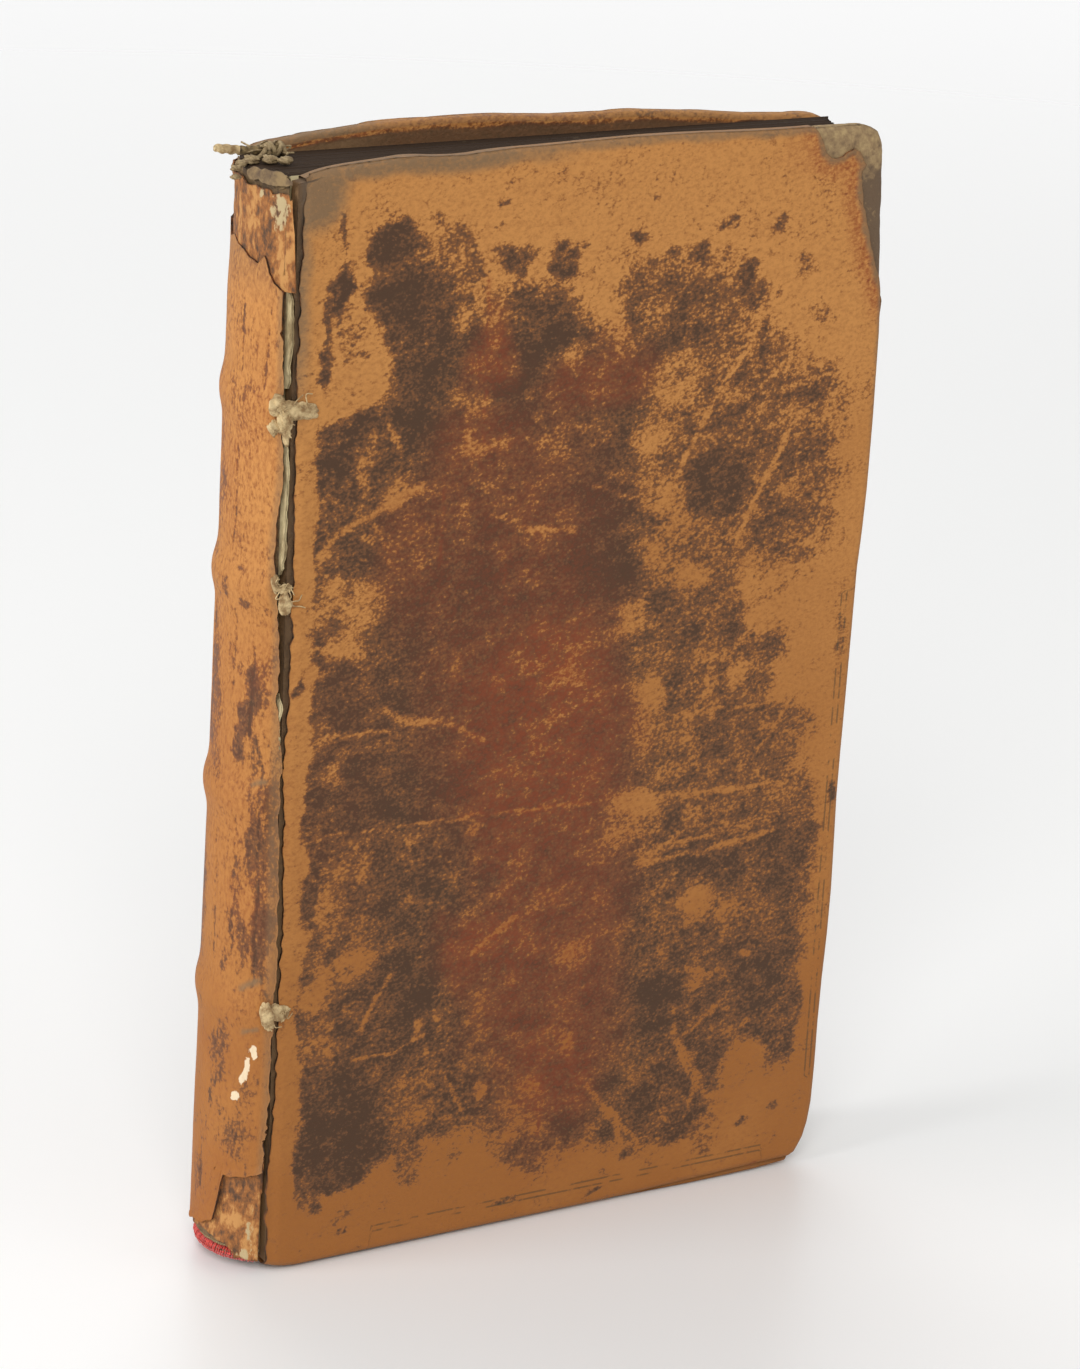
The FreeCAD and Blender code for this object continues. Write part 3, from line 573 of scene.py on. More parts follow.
def calf_hair_side(name, colours, grain_turn, grain_stretch):
    """Vegetable-tanned calf, hair side out, stained brown and rubbed.

    The stain lives in the smooth grain layer: where that is rubbed away the bare tan hide shows,
    its edges broken at the 0.5 mm scale of the pores and drawn out along the hide's fine creases.
    """
    material, tree, shader, place = start_material(name)
    stain, ruddy, soil, edge, fleck = [add(tree, "ShaderNodeAttribute", attribute_name=key).outputs["Fac"]
                                       for key in ("stain", "ruddy", "soil", "from_edge", "fleck")]
    turned = add(tree, "ShaderNodeVectorRotate", {"Vector": place, "Angle": grain_turn},
                 rotation_type="Y_AXIS")
    drawn = add(tree, "ShaderNodeVectorMath", {0: turned, 1: grain_stretch}, operation="MULTIPLY")
    broad = add(tree, "ShaderNodeTexNoise", {"Vector": place, "Scale": 1 / BROAD_MM, "Detail": 3.0})
    blotch = add(tree, "ShaderNodeTexNoise", {"Vector": drawn, "Scale": 1 / BLOTCH_MM, "Detail": 4.0,
                                              "Roughness": 0.66})
    speck = add(tree, "ShaderNodeTexNoise", {"Vector": drawn, "Scale": 1 / SPECK_MM, "Detail": 3.0,
                                             "Roughness": 0.65})
    pores = add(tree, "ShaderNodeTexVoronoi", {"Vector": place, "Scale": 1 / PORE_MM})
    # How much stain is kept at each speck
    kept = add(tree, "ShaderNodeMath", {0: blotch, 1: BLOTCH_SHARE, 2: stain}, operation="MULTIPLY_ADD")
    kept = add(tree, "ShaderNodeMath", {0: speck, 1: SPECK_SHARE, 2: kept}, operation="MULTIPLY_ADD")
    kept = add(tree, "ShaderNodeMath", {0: pores, 1: PORE_SHARE, 2: kept}, operation="MULTIPLY_ADD")
    middle = 0.5 * BLOTCH_SHARE + 0.5 * SPECK_SHARE + 0.35 * PORE_SHARE
    kept = add(tree, "ShaderNodeMath", {0: kept, 1: middle}, operation="SUBTRACT")
    # Bare hide paler towards the head and darker towards the tail: painted shade of light falling from above,
    # over a broad random tone
    level = add(tree, "ShaderNodeSeparateXYZ", {0: place}).outputs["Z"]
    hide = add(tree, "ShaderNodeMath", {0: broad, 1: 160.0, 2: level}, operation="MULTIPLY_ADD")
    hide = add(tree, "ShaderNodeMapRange", {"Value": hide, "From Min": 230.0, "From Max": 95.0})
    hide = add(tree, "ShaderNodeMix", {"Factor": hide, 6: rgba(colours.tan_pale), 7: rgba(colours.tan_deep)},
               data_type="RGBA")
    worn = add(tree, "ShaderNodeMapRange", {"Value": speck, "From Min": 0.42, "From Max": 0.66,
                                            "To Max": 0.45})
    hide = add(tree, "ShaderNodeMix", {"Factor": worn, 6: hide, 7: rgba(colours.half_stain)},
               data_type="RGBA")
    tones = add(tree, "ShaderNodeValToRGB", {"Fac": kept})
    ramp = tones.color_ramp
    ramp.elements[0].position, ramp.elements[0].color = 0.40, rgba(colours.half_stain)
    ramp.elements[1].position, ramp.elements[1].color = 1.0, rgba(colours.stain_deep)
    ramp.elements.new(0.55).color = rgba(colours.thin_stain)
    ramp.elements.new(0.78).color = rgba(colours.stain)
    bare = add(tree, "ShaderNodeMapRange", {"Value": kept, "From Min": 0.47, "From Max": 0.17})
    colour = add(tree, "ShaderNodeMix", {"Factor": bare, 6: tones, 7: hide}, data_type="RGBA")
    # Reddish places, where the stain took hold differently
    red = add(tree, "ShaderNodeMapRange", {"Value": speck, "From Min": 0.3, "From Max": 0.62})
    red = add(tree, "ShaderNodeMath", {0: red, 1: ruddy}, operation="MULTIPLY")
    red = add(tree, "ShaderNodeMath", {0: red, 1: 0.8}, operation="MULTIPLY", use_clamp=True)
    colour = add(tree, "ShaderNodeMix", {"Factor": red, 6: colour, 7: rgba(colours.ruddy)}, data_type="RGBA")
    # The double rule, blind and broken
    first = add(tree, "ShaderNodeMath", {0: edge, 1: RULES[0], 2: RULE_HALF}, operation="COMPARE")
    second = add(tree, "ShaderNodeMath", {0: edge, 1: RULES[1], 2: RULE_HALF}, operation="COMPARE")
    ruled = add(tree, "ShaderNodeMath", {0: first, 1: second}, operation="MAXIMUM")
    dashes = add(tree, "ShaderNodeMapRange", {"Value": blotch, "From Min": 0.44, "From Max": 0.5,
                                              "To Max": 0.6})
    ruled = add(tree, "ShaderNodeMath", {0: ruled, 1: dashes}, operation="MULTIPLY")
    colour = add(tree, "ShaderNodeMix", {"Factor": ruled, 6: colour, 7: rgba(linear("#54442E"))},
                 data_type="RGBA")
    # Dirt rubbed into the edges, with painted shade in the turn-ins below their rims, and pale spots where
    # the hide is lost
    dirt = add(tree, "ShaderNodeMath", {0: speck, 1: 0.9, 2: 0.4}, operation="MULTIPLY_ADD")
    dirt = add(tree, "ShaderNodeMath", {0: dirt, 1: soil}, operation="MULTIPLY", use_clamp=True)
    colour = add(tree, "ShaderNodeMix", {"Factor": dirt, 6: colour, 7: rgba(colours.soil)}, data_type="RGBA")
    lost = add(tree, "ShaderNodeMath", {0: speck, 1: 1.4, 2: fleck}, operation="MULTIPLY_ADD")
    lost = add(tree, "ShaderNodeMapRange", {"Value": lost, "From Min": 1.15, "From Max": 1.3})
    colour = add(tree, "ShaderNodeMix", {"Factor": lost, 6: colour, 7: rgba(linear("#E8D2B0"))},
                 data_type="RGBA")
    tree.links.new(colour.outputs[2], shader.inputs["Base Color"])
    shine = add(tree, "ShaderNodeMapRange", {"Value": kept, "From Min": 0.3, "From Max": 0.7,
                                             "To Min": 0.68, "To Max": 0.55})
    tree.links.new(shine.outputs[0], shader.inputs["Roughness"])
    shader.inputs["IOR"].default_value = 1.47
    shader.inputs["Specular IOR Level"].default_value = 0.3
    # Relief in millimetres: pores, creases and the thickness of the grain layer that is left
    height = add(tree, "ShaderNodeMath", {0: pores, 1: 0.035, 2: 0.0}, operation="MULTIPLY_ADD")
    height = add(tree, "ShaderNodeMath", {0: speck, 1: 0.10, 2: height}, operation="MULTIPLY_ADD")
    height = add(tree, "ShaderNodeMath", {0: bare, 1: -0.025, 2: height}, operation="MULTIPLY_ADD")
    height = add(tree, "ShaderNodeMath", {0: ruled, 1: -0.08, 2: height}, operation="MULTIPLY_ADD")
    bump = add(tree, "ShaderNodeBump", {"Height": height, "Distance": MM, "Strength": 1.0})
    tree.links.new(bump.outputs[0], shader.inputs["Normal"])
    return material


def calf_flesh_side():
    """The same hide torn through: loose brown fibres, tan where fresh, with paste and paper stuck to it."""
    material, tree, shader, place = start_material("calf_flesh_side_torn")
    fresh = add(tree, "ShaderNodeAttribute", attribute_name="fresh").outputs["Fac"]
    pasted = add(tree, "ShaderNodeAttribute", attribute_name="pasted").outputs["Fac"]
    drawn = add(tree, "ShaderNodeVectorMath", {0: place, 1: (1.0, 1.0, 0.55)}, operation="MULTIPLY")
    fibres = add(tree, "ShaderNodeTexNoise", {"Vector": drawn, "Scale": 1 / 1.1, "Detail": 5.0,
                                              "Roughness": 0.65})
    tone = add(tree, "ShaderNodeMath", {0: fibres, 1: 2.4, 2: -0.75}, operation="MULTIPLY_ADD")
    tone = add(tree, "ShaderNodeMath", {0: fresh, 1: 0.55, 2: tone}, operation="MULTIPLY_ADD")
    tones = add(tree, "ShaderNodeValToRGB", {"Fac": tone})
    tones.color_ramp.elements[0].color = rgba(linear("#3F2C20"))
    tones.color_ramp.elements[1].color = rgba(linear("#C08A4E"))
    tones.color_ramp.elements.new(0.35).color = rgba(linear("#5E4029"))
    tones.color_ramp.elements.new(0.7).color = rgba(linear("#9C6230"))
    stuck = add(tree, "ShaderNodeMath", {0: fibres, 1: 2.6, 2: pasted}, operation="MULTIPLY_ADD")
    stuck = add(tree, "ShaderNodeMapRange", {"Value": stuck, "From Min": 2.05, "From Max": 2.3})
    colour = add(tree, "ShaderNodeMix", {"Factor": stuck, 6: tones, 7: rgba(linear("#BCA67C"))},
                 data_type="RGBA")
    set_surface(tree, shader, colour, 0.85, fibres, 0.35)
    return material


def plain_noise(name, pale, deep, size_mm, roughness, relief_mm, stretch=(1, 1, 1)):
    """A finish of two tones mixed by noise whose spots are size_mm across, with that noise as relief."""
    material, tree, shader, place = start_material(name)
    stretched = add(tree, "ShaderNodeVectorMath", {0: place, 1: stretch}, operation="MULTIPLY")
    noise = add(tree, "ShaderNodeTexNoise", {"Vector": stretched, "Scale": 1 / size_mm, "Detail": 5.0,
                                             "Roughness": 0.65})
    sharp = add(tree, "ShaderNodeMapRange", {"Value": noise, "From Min": 0.35, "From Max": 0.65},
                interpolation_type="SMOOTHSTEP")
    colour = add(tree, "ShaderNodeMix", {"Factor": sharp, 6: rgba(linear(pale)), 7: rgba(linear(deep))},
                 data_type="RGBA")
    set_surface(tree, shader, colour, roughness, noise, relief_mm)
    return material


def make_materials():
    """Every finish of the book, made once and kept by name."""
    colours = bpy.context.scene.book_colours
    made = {
        # On the covers the hide's creases run across; round the spine they run up and down
        "calf": calf_hair_side("calf_hair_side_covers", colours, math.radians(14), (0.8, 1.0, 1.2)),
        "spine_calf": calf_hair_side("calf_hair_side_spine", colours, 0.0, (1.25, 1.25, 0.7)),
        "torn": calf_flesh_side(),
        # Calf turned over at the head and soaked in soot and grease: grey, stiff, crumpled
        "soiled": plain_noise("calf_soiled_grey", "#8F7651", "#5E4A36", 2.2, 0.85, 0.3),
        "board": pasteboard(),
        # Cut page edges, streaked along the leaves; their head sooty from two centuries and darkened further
        # with painted shade between the covers
        "edges": page_edges(),
        # Laid rag paper, sized with gelatine: warm, matt, faintly ribbed by the mould's wires
        "paper": plain_noise("rag_paper_laid", "#D8C9A2", "#CFBE94", 14.0, 0.85, 0.05),
        # Lining paper soaked with hide glue on the spine: brittle, dark brown
        "lining": plain_noise("paper_glued_lining", "#80643F", "#4A3824", 2.2, 0.8, 0.2),
        # Torn lining paper folded out of the joint: straw, its creases dirty
        "strip": plain_noise("paper_lining_torn", "#C9B68A", "#7E6844", 1.8, 0.85, 0.2, (1, 1, 0.3)),
        # Hemp cord, twisted: pale straw where it broke, brown with glue and dirt elsewhere
        "hemp": plain_noise("hemp_cord_broken", "#D6BC8C", "#8E7049", 1.5, 0.85, 0.25),
        "grimy_hemp": plain_noise("hemp_cord_grimy", "#8E7850", "#4A3A26", 0.9, 0.85, 0.15),
        # Linen thread, waxed: tan, slightly glossy
        "linen": plain_noise("linen_thread_waxed", "#A8926A", "#7A6444", 0.5, 0.7, 0.1),
        # Silk floss, dyed red: bright, with a soft sheen along its fibres
        "silk": plain_noise("silk_floss_dyed", "#E0402F", "#A81F1C", 0.5, 0.5, 0.15),
    }
    made["silk"].node_tree.nodes["Principled BSDF"].inputs["Sheen Weight"].default_value = 0.4
    return made


def pasteboard():
    """Pressed rag pulp: sandy and loose-surfaced where bare, brown where handled and sooty; along the joint
    edge its dark brown is painted shade of the cracked joint.
    """
    material, tree, shader, place = start_material("pasteboard_rag_pressed")
    dirt = add(tree, "ShaderNodeAttribute", attribute_name="dirt").outputs["Fac"]
    pulp = add(tree, "ShaderNodeTexNoise", {"Vector": place, "Scale": 1 / 1.1, "Detail": 5.0,
                                            "Roughness": 0.6})
    tone = add(tree, "ShaderNodeMath", {0: pulp, 1: 1.3, 2: dirt}, operation="MULTIPLY_ADD")
    tones = add(tree, "ShaderNodeValToRGB", {"Fac": tone})
    tones.color_ramp.elements[0].position, tones.color_ramp.elements[0].color = 0.4, rgba(linear("#B4996C"))
    tones.color_ramp.elements[1].position, tones.color_ramp.elements[1].color = 1.0, rgba(linear("#6A5540"))
    tones.color_ramp.elements.new(0.75).color = rgba(linear("#927856"))
    # Along the joint edge the board is painted dark brown: painted shade of the crack
    crack = add(tree, "ShaderNodeMapRange", {"Value": dirt, "From Min": 0.8, "From Max": 1.0})
    colour = add(tree, "ShaderNodeMix", {"Factor": crack, 6: tones, 7: rgba(linear("#755736"))},
                 data_type="RGBA")
    set_surface(tree, shader, colour, 0.9, pulp, 0.35)
    return material


def page_edges():
    """Cut leaves of rag paper: one tone to a leaf, drawn along it, sooty at the head and darkened there with
    painted shade.
    """
    material, tree, shader, place = start_material("rag_paper_cut_edges")
    leaf = add(tree, "ShaderNodeAttribute", attribute_name="leaf").outputs["Fac"]
    soot = add(tree, "ShaderNodeAttribute", attribute_name="soot").outputs["Fac"]
    streak = add(tree, "ShaderNodeTexNoise", {"W": leaf, "Scale": 0.9, "Detail": 3.0}, noise_dimensions="1D")
    spot = add(tree, "ShaderNodeTexNoise", {"Vector": place, "Scale": 0.3, "Detail": 4.0})
    pale = add(tree, "ShaderNodeMapRange", {"Value": streak, "From Min": 0.3, "From Max": 0.7})
    colour = add(tree, "ShaderNodeMix",
                 {"Factor": pale, 6: rgba(linear("#8C7654")), 7: rgba(linear("#C8B284"))}, data_type="RGBA")
    # The head's dark: soot, and painted shade where the head lies between the covers
    grime_and_shade = add(tree, "ShaderNodeMath", {0: soot, 1: spot, 2: 0.25}, operation="MULTIPLY_ADD", use_clamp=True)
    grime_and_shade = add(tree, "ShaderNodeMath", {0: grime_and_shade, 1: soot}, operation="MULTIPLY", use_clamp=True)
    grime_and_shade = add(tree, "ShaderNodeMapRange", {"Value": grime_and_shade, "From Max": 0.6})
    colour = add(tree, "ShaderNodeMix", {"Factor": grime_and_shade, 6: colour, 7: rgba(linear("#3B2A1B"))},
                 data_type="RGBA")
    set_surface(tree, shader, colour, 0.85, streak, 0.25)
    shader.inputs["Specular IOR Level"].default_value = 0.25
    return material


MATERIALS = {}


# Covers

def cover_outline(cover):
    """The four borders of a cover's face as drawn lines: tail, head, joint, fore."""
    if cover == "front":
        tail = [*FRONT_TAIL, *FRONT_TAIL_CORNER[:1]]
        fore = [*FRONT_TAIL_CORNER, *[(x, z) for z, x in FRONT_FORE], *FRONT_HEAD_CORNER[:2]]
        head = [*FRONT_HEAD, *FRONT_HEAD_CORNER[:0:-1]]
        joint = [(x, z) for z, x in FRONT_CRACK]
    else:
        tail = [*BACK_TAIL, *BACK_TAIL_CORNER[:1]]
        fore = [*BACK_TAIL_CORNER, *[(x, z) for z, x in BACK_FORE], *BACK_HEAD_CORNER[:2]]
        head = [*BACK_HEAD, *BACK_HEAD_CORNER[:0:-1]]
        joint = [(0.6, z) for z in (0.9, 40, 80, 120, 168.6)]
    fore = [tail[-1], *fore[1:]] if fore[0] == tail[-1] else [tail[-1], *fore]
    head[-1] = fore[-1]
    joint[0], joint[-1] = tail[0], head[0]
    return [smooth_line(line) for line in (tail, head, joint, fore)]


def edge_drop(distance, radius):
    """How far the face has fallen at a distance in from an eased edge."""
    d = np.clip(radius - distance, 0, radius)
    return radius - np.sqrt(radius ** 2 - d ** 2)


def free_edge_distance(cover, x, z):
    tail, head, _, fore = cover_outline(cover)
    line = np.vstack([tail[::4], fore[::3], head[::-4]])
    return line_distance(x, z, [tuple(p) for p in line])


def cover_relief(x, z, cover):
    """How far the face lies in from the cover's outer plane: an eased edge, dents and a worn joint."""
    distance = free_edge_distance(cover, x, z)
    seed = 11 if cover == "front" else 47
    relief = edge_drop(distance, 1.5)
    away = smooth(0, 5, x - 1.5)
    relief = relief + away * 0.14 * (1 + mottle(x, z, 28, seed, 2)) * smooth(0, 6, distance)
    if cover == "front":
        relief = relief + 0.3 * smooth(2.6, 0.6, x) + 0.5 * smooth(9, 1, np.hypot(x - 1, z - 169))
        relief = relief - 0.25 * smooth(6, 0, np.abs(x - 18.5)) * smooth(2.5, 0, 170.4 - z)
    return relief, distance


def front_stain(x, z):
    """How much of the dark stain is left, from 0 on bare hide to 1."""
    depth = inside(x + 1.6 * mottle(x, z, 6, 3), z + 1.6 * mottle(x, z, 6, 4), DARK_FIELD)
    fade = 0.7 + 3.3 * smooth(8, 40, x)
    lighter = smooth(50, 66, x) * smooth(55, 68, z)
    stain = paint(x, z, PATCHES, 21, -0.1 + (0.8 - 0.14 * lighter) * smooth(-1, 1, depth / fade))
    stain = stain - 0.08 * lighter * smooth(0.2, 0.6, stain)
    stain = stain + 0.1 * mottle(x, z, 11, 23)
    return stain - (stain - 0.05) * 0.85 * strokes(x, z, SCRATCHES, 41)


def front_values(x, z, distance):
    ruddy = np.maximum(paint(x, z, RUDDY_PATCHES, 51, 0.05, 9, 3), 0.9 * strokes(x, z, RED_STREAKS, 61))
    ragged_depth = distance + 0.5 * mottle(x, z, 4, 65)
    soil = 1.1 * smooth(2.9, 1.0, ragged_depth) * smooth(120, 150, z) * smooth(50, 30, x)
    soil = np.maximum(soil, 0.9 * smooth(1.5, 0.4, ragged_depth) * smooth(100, 150, z))
    from_corner = np.hypot(x - 0.5, (z - 168) * 1.1) + 0.8 * mottle(x, z, 3, 66)
    soil = np.maximum(soil, 1.2 * smooth(9.5, 6, from_corner))
    soil = np.maximum(soil, 1.0 * smooth(3.6, 1.2, x + 0.5 * mottle(x, z, 4, 67)) * smooth(128, 148, z))
    soil = np.maximum(soil, 0.4 * smooth(1.3, 0.2, distance))
    torn = line_distance(x, z, CORNER_TEAR) + 0.4 * mottle(x, z, 2, 68)
    soil = np.maximum(soil, 1.0 * smooth(1.3, 0.3, torn))
    ruddy = np.maximum(ruddy, 0.9 * smooth(4.5, 1.5, torn))
    return {"stain": front_stain(x, z), "ruddy": ruddy, "soil": soil, "from_edge": ruled_distance(x, z)}


def back_values(x, z, distance):
    """The back cover, worn like the front one to a pattern of its own."""
    wide = smooth(4, 13, distance + 5 * mottle(x, z, 14, 70))
    stain = 0.06 + wide * (0.62 + 0.3 * mottle(x, z, 30, 71, 3))
    stain = stain * (1 - 0.8 * smooth(0.35, 0.75, mottle(x * 0.6, z * 1.3, 9, 72, 4)))
    stain = stain * smooth(3.6, 5.0, x + 0.4 * mottle(x, z, 5, 74))
    ruddy = 0.5 * smooth(-0.1, 0.6, mottle(x, z, 45, 75, 2))
    cleaner = smooth(14, 24, x)
    soil = 0.8 * smooth(2.6, 0.6, distance + 0.6 * mottle(x, z, 4, 76)) * smooth(100, 165, z)
    soil = soil * (1 - 0.6 * cleaner) + 0.35 * smooth(1.5, 0.2, distance) * (1 - 0.5 * cleaner)
    return {"stain": stain, "ruddy": ruddy, "soil": soil, "from_edge": ruled_distance(x, z)}


def ruled_distance(x, z):
    """Distance in from the fore and tail edges, where the binder's double rule can still be made out."""
    fore = 98.4 - x + RULE_FAR * (smooth(15, 13, z) + smooth(97, 100, z))
    tail = z - 1.35 + RULE_FAR * (smooth(18, 16, x) + smooth(88, 90, x))
    return np.minimum(fore, tail)


def rim_rings(shape, loop, points, cover, values):
    """Wraps the leather round the free edges and turns it in over the board."""
    way = np.gradient(points[:, [0, 2]], axis=0)
    way /= np.maximum(np.hypot(*way.T), 1e-9)[:, None]
    inward = np.column_stack([-way[:, 1], way[:, 0]])
    x, z = points[:, 0], points[:, 2]
    window = np.column_stack([np.clip(x, WINDOW_JOINT, WINDOW_FORE), np.clip(z, WINDOW_TAIL, WINDOW_HEAD)])
    deep = COVER_THICKNESS
    profile = ((0.0, 1.9), (0.0, 2.4), (0.1, 2.8), (0.35, deep - 0.08), (0.7, deep))
    rows = [loop]
    for inset, y in profile:
        ring = np.column_stack([x + inward[:, 0] * inset, np.full(len(x), y), z + inward[:, 1] * inset])
        rows.append(shape.add(place(ring, cover), **values))
    edge = np.column_stack([x, z]) + inward * 0.7
    for share in TURN_IN_SHARES:
        flat = edge * (1 - share) + window * share
        puff = 0.06 * mottle(flat[:, 0], flat[:, 1], 7, 81)
        ring = np.column_stack([flat[:, 0], deep + 0.02 - np.abs(puff), flat[:, 1]])
        rows.append(shape.add(place(ring, cover), **turn_in_values(flat, share)))
    ring = np.column_stack([window[:, 0], np.full(len(x), deep - 0.45), window[:, 1]])
    rows.append(shape.add(place(ring, cover), **turn_in_values(window, 1.0)))
    shape.weave(np.array(rows), 0, flip=cover == "back")


def turn_in_values(flat, share):
    """The leather turned in: a tan rim, painted shade darkening it below the rim, with one fresh tear near
    the joint.
    """
    x, z = flat[:, 0], flat[:, 1]
    by_joint = smooth(24, 14, x + 3 * mottle(x, z, 9, 90))
    by_fore = smooth(74, 82, x + 2 * mottle(x, z, 7, 92))
    # Painted shade below the rim, where the gap between the covers keeps the turn-in in shadow; it darkens
    # the stain and soil values
    painted_shade_below = smooth(0.03, 0.08, share + 0.02 * mottle(x, z, 5, 94)) * smooth(92, 86, x)
    tear = strokes(x, z, TURN_IN_TEARS, 96)
    stain = 0.1 + 0.75 * np.maximum(by_fore, by_joint) + 0.9 * painted_shade_below
    stain = stain + 0.35 * smooth(0.2, 0.9, mottle(x, z, 12, 93))
    soil = np.clip(0.5 * by_joint + 0.45 * painted_shade_below, 0, 1)
    return {"stain": stain * (1 - tear), "ruddy": 0.3 + 0.5 * tear, "soil": soil * (1 - tear),
            "from_edge": np.full(len(flat), RULE_FAR)}


def place(points, cover):
    return place_front(points) if cover == "front" else place_back(points)


def lip(shape, edge_numbers, edge, behind, cover, values, thick=0.5):
    """The torn end of the sheet: down through its thickness and back under it."""
    under = edge.copy()
    under[:, 1] += thick
    back = behind.copy()
    back[:, 1] += thick
    rows = [edge_numbers]
    for line in (under, back):
        rows.append(shape.add(place(line, cover), **values))
    shape.weave(np.array(rows), 1, flip=cover != "back")


def front_leather_borders(u, v):
    """The leather's face on the front cover, ending at the torn corner."""
    tail, head, joint, fore = cover_outline("front")
    tear = ragged(CORNER_TEAR, 0.22, 1.3, 101)
    turn = np.argmin(np.hypot(*(tear - CORNER_TEAR[CORNER_TEAR_TURN]).T))
    fore = np.vstack([fore[fore[:, 1] < tear[0, 1] - 0.4], tear[:turn + 1]])
    head_end = tear[turn:][::-1]
    head = np.vstack([head[head[:, 0] < head_end[0, 0] - 0.4], head_end])
    joint = ragged(joint, 0.3, 1.6, 103)
    return [resample(line, places) for line, places in ((tail, u), (head, u), (joint, v), (fore, v))]


def build_front_leather():
    u = spaced(212, COVER_WIDTH, 0.45, 0.45)
    v = spaced(372, COVER_HEIGHT, 0.45, 0.45)
    tail, head, joint, fore = front_leather_borders(u, v)
    grid = patch(tail, head, joint, fore, u, v)
    x, z = grid[..., 0], grid[..., 1]
    relief, distance = cover_relief(x, z, "front")
    values = front_values(x, z, distance)
    relief = relief + 0.05 * strokes(x, z, SCRATCHES, 41) - 0.03 * smooth(0.3, 0.8, values["stain"])
    relief = relief - 0.25 * smooth(1.2, 0.0, line_distance(x, z, CORNER_TEAR)) * smooth(0.5, 2, distance)
    face = np.stack([x, relief, z], -1)
    shape = Shape()
    number = shape.add(place_front(face), **values)
    shape.weave(number)
    # Free edges in two runs, either side of the bare corner
    kept_fore = z[:, -1] < CORNER_TEAR[0][1] - 0.2
    kept_head = x[-1, :] < CORNER_TEAR[-1][0] - 0.2
    first = np.concatenate([number[0, :], number[kept_fore, -1][1:]])
    line = np.concatenate([face[0, :], face[kept_fore, -1][1:]])
    pick = {k: np.concatenate([a[0, :], a[kept_fore, -1][1:]]) for k, a in values.items()}
    rim_rings(shape, first, line, "front", pick)
    second = number[-1, kept_head][::-1]
    pick = {k: a[-1, kept_head][::-1] for k, a in values.items()}
    rim_rings(shape, second, face[-1, kept_head][::-1], "front", pick)
    # Torn edges: along the joint, and round the bare corner
    lip(shape, number[:, 0], face[:, 0], face[:, 5], "front", {k: a[:, 0] for k, a in values.items()})
    torn = np.concatenate([number[~kept_fore, -1], number[-1, ~kept_head][::-1][1:]])
    edge = np.concatenate([face[~kept_fore, -1], face[-1, ~kept_head][::-1][1:]])
    behind = np.concatenate([face[~kept_fore, -6], face[-6, ~kept_head][::-1][1:]])
    pick = {k: np.concatenate([a[~kept_fore, -1], a[-1, ~kept_head][::-1][1:]]) for k, a in values.items()}
    lip(shape, torn, edge, behind, "front", pick, 0.45)
    return shape.build("front_calf", [MATERIALS["calf"], MATERIALS["torn"]], weld=0.004)


def free_edges(grid):
    """A grid's tail, fore and head borders in one run."""
    return np.concatenate([grid[0, :], grid[1:, -1], grid[-1, ::-1][1:]])


def all_round(grid):
    return np.concatenate([free_edges(grid), grid[::-1, 0][1:]])


def build_back_leather():
    u = spaced(170, COVER_WIDTH, 0, 0.4)
    v = spaced(300, COVER_HEIGHT, 0.5, 0.4)
    tail, head, joint, fore = [resample(*pair) for pair in zip(cover_outline("back"), (u, u, v, v))]
    joint[:, 0] = BACK_SEAM
    tail[0], head[0] = joint[0], joint[-1]
    grid = patch(tail, head, joint, fore, u, v)
    x, z = grid[..., 0], grid[..., 1]
    relief, distance = cover_relief(x, z, "back")
    values = back_values(x, z, distance)
    face = np.stack([x, relief, z], -1)
    shape = Shape()
    number = shape.add(place_back(face), **values)
    shape.weave(number, flip=True)
    pick = {k: free_edges(a) for k, a in values.items()}
    rim_rings(shape, free_edges(number), free_edges(face), "back", pick)
    lip(shape, number[:, 0], face[:, 0], face[:, 3], "back", {k: a[:, 0] for k, a in values.items()})
    return shape.build("back_calf", [MATERIALS["calf"], MATERIALS["torn"]], weld=0.004)


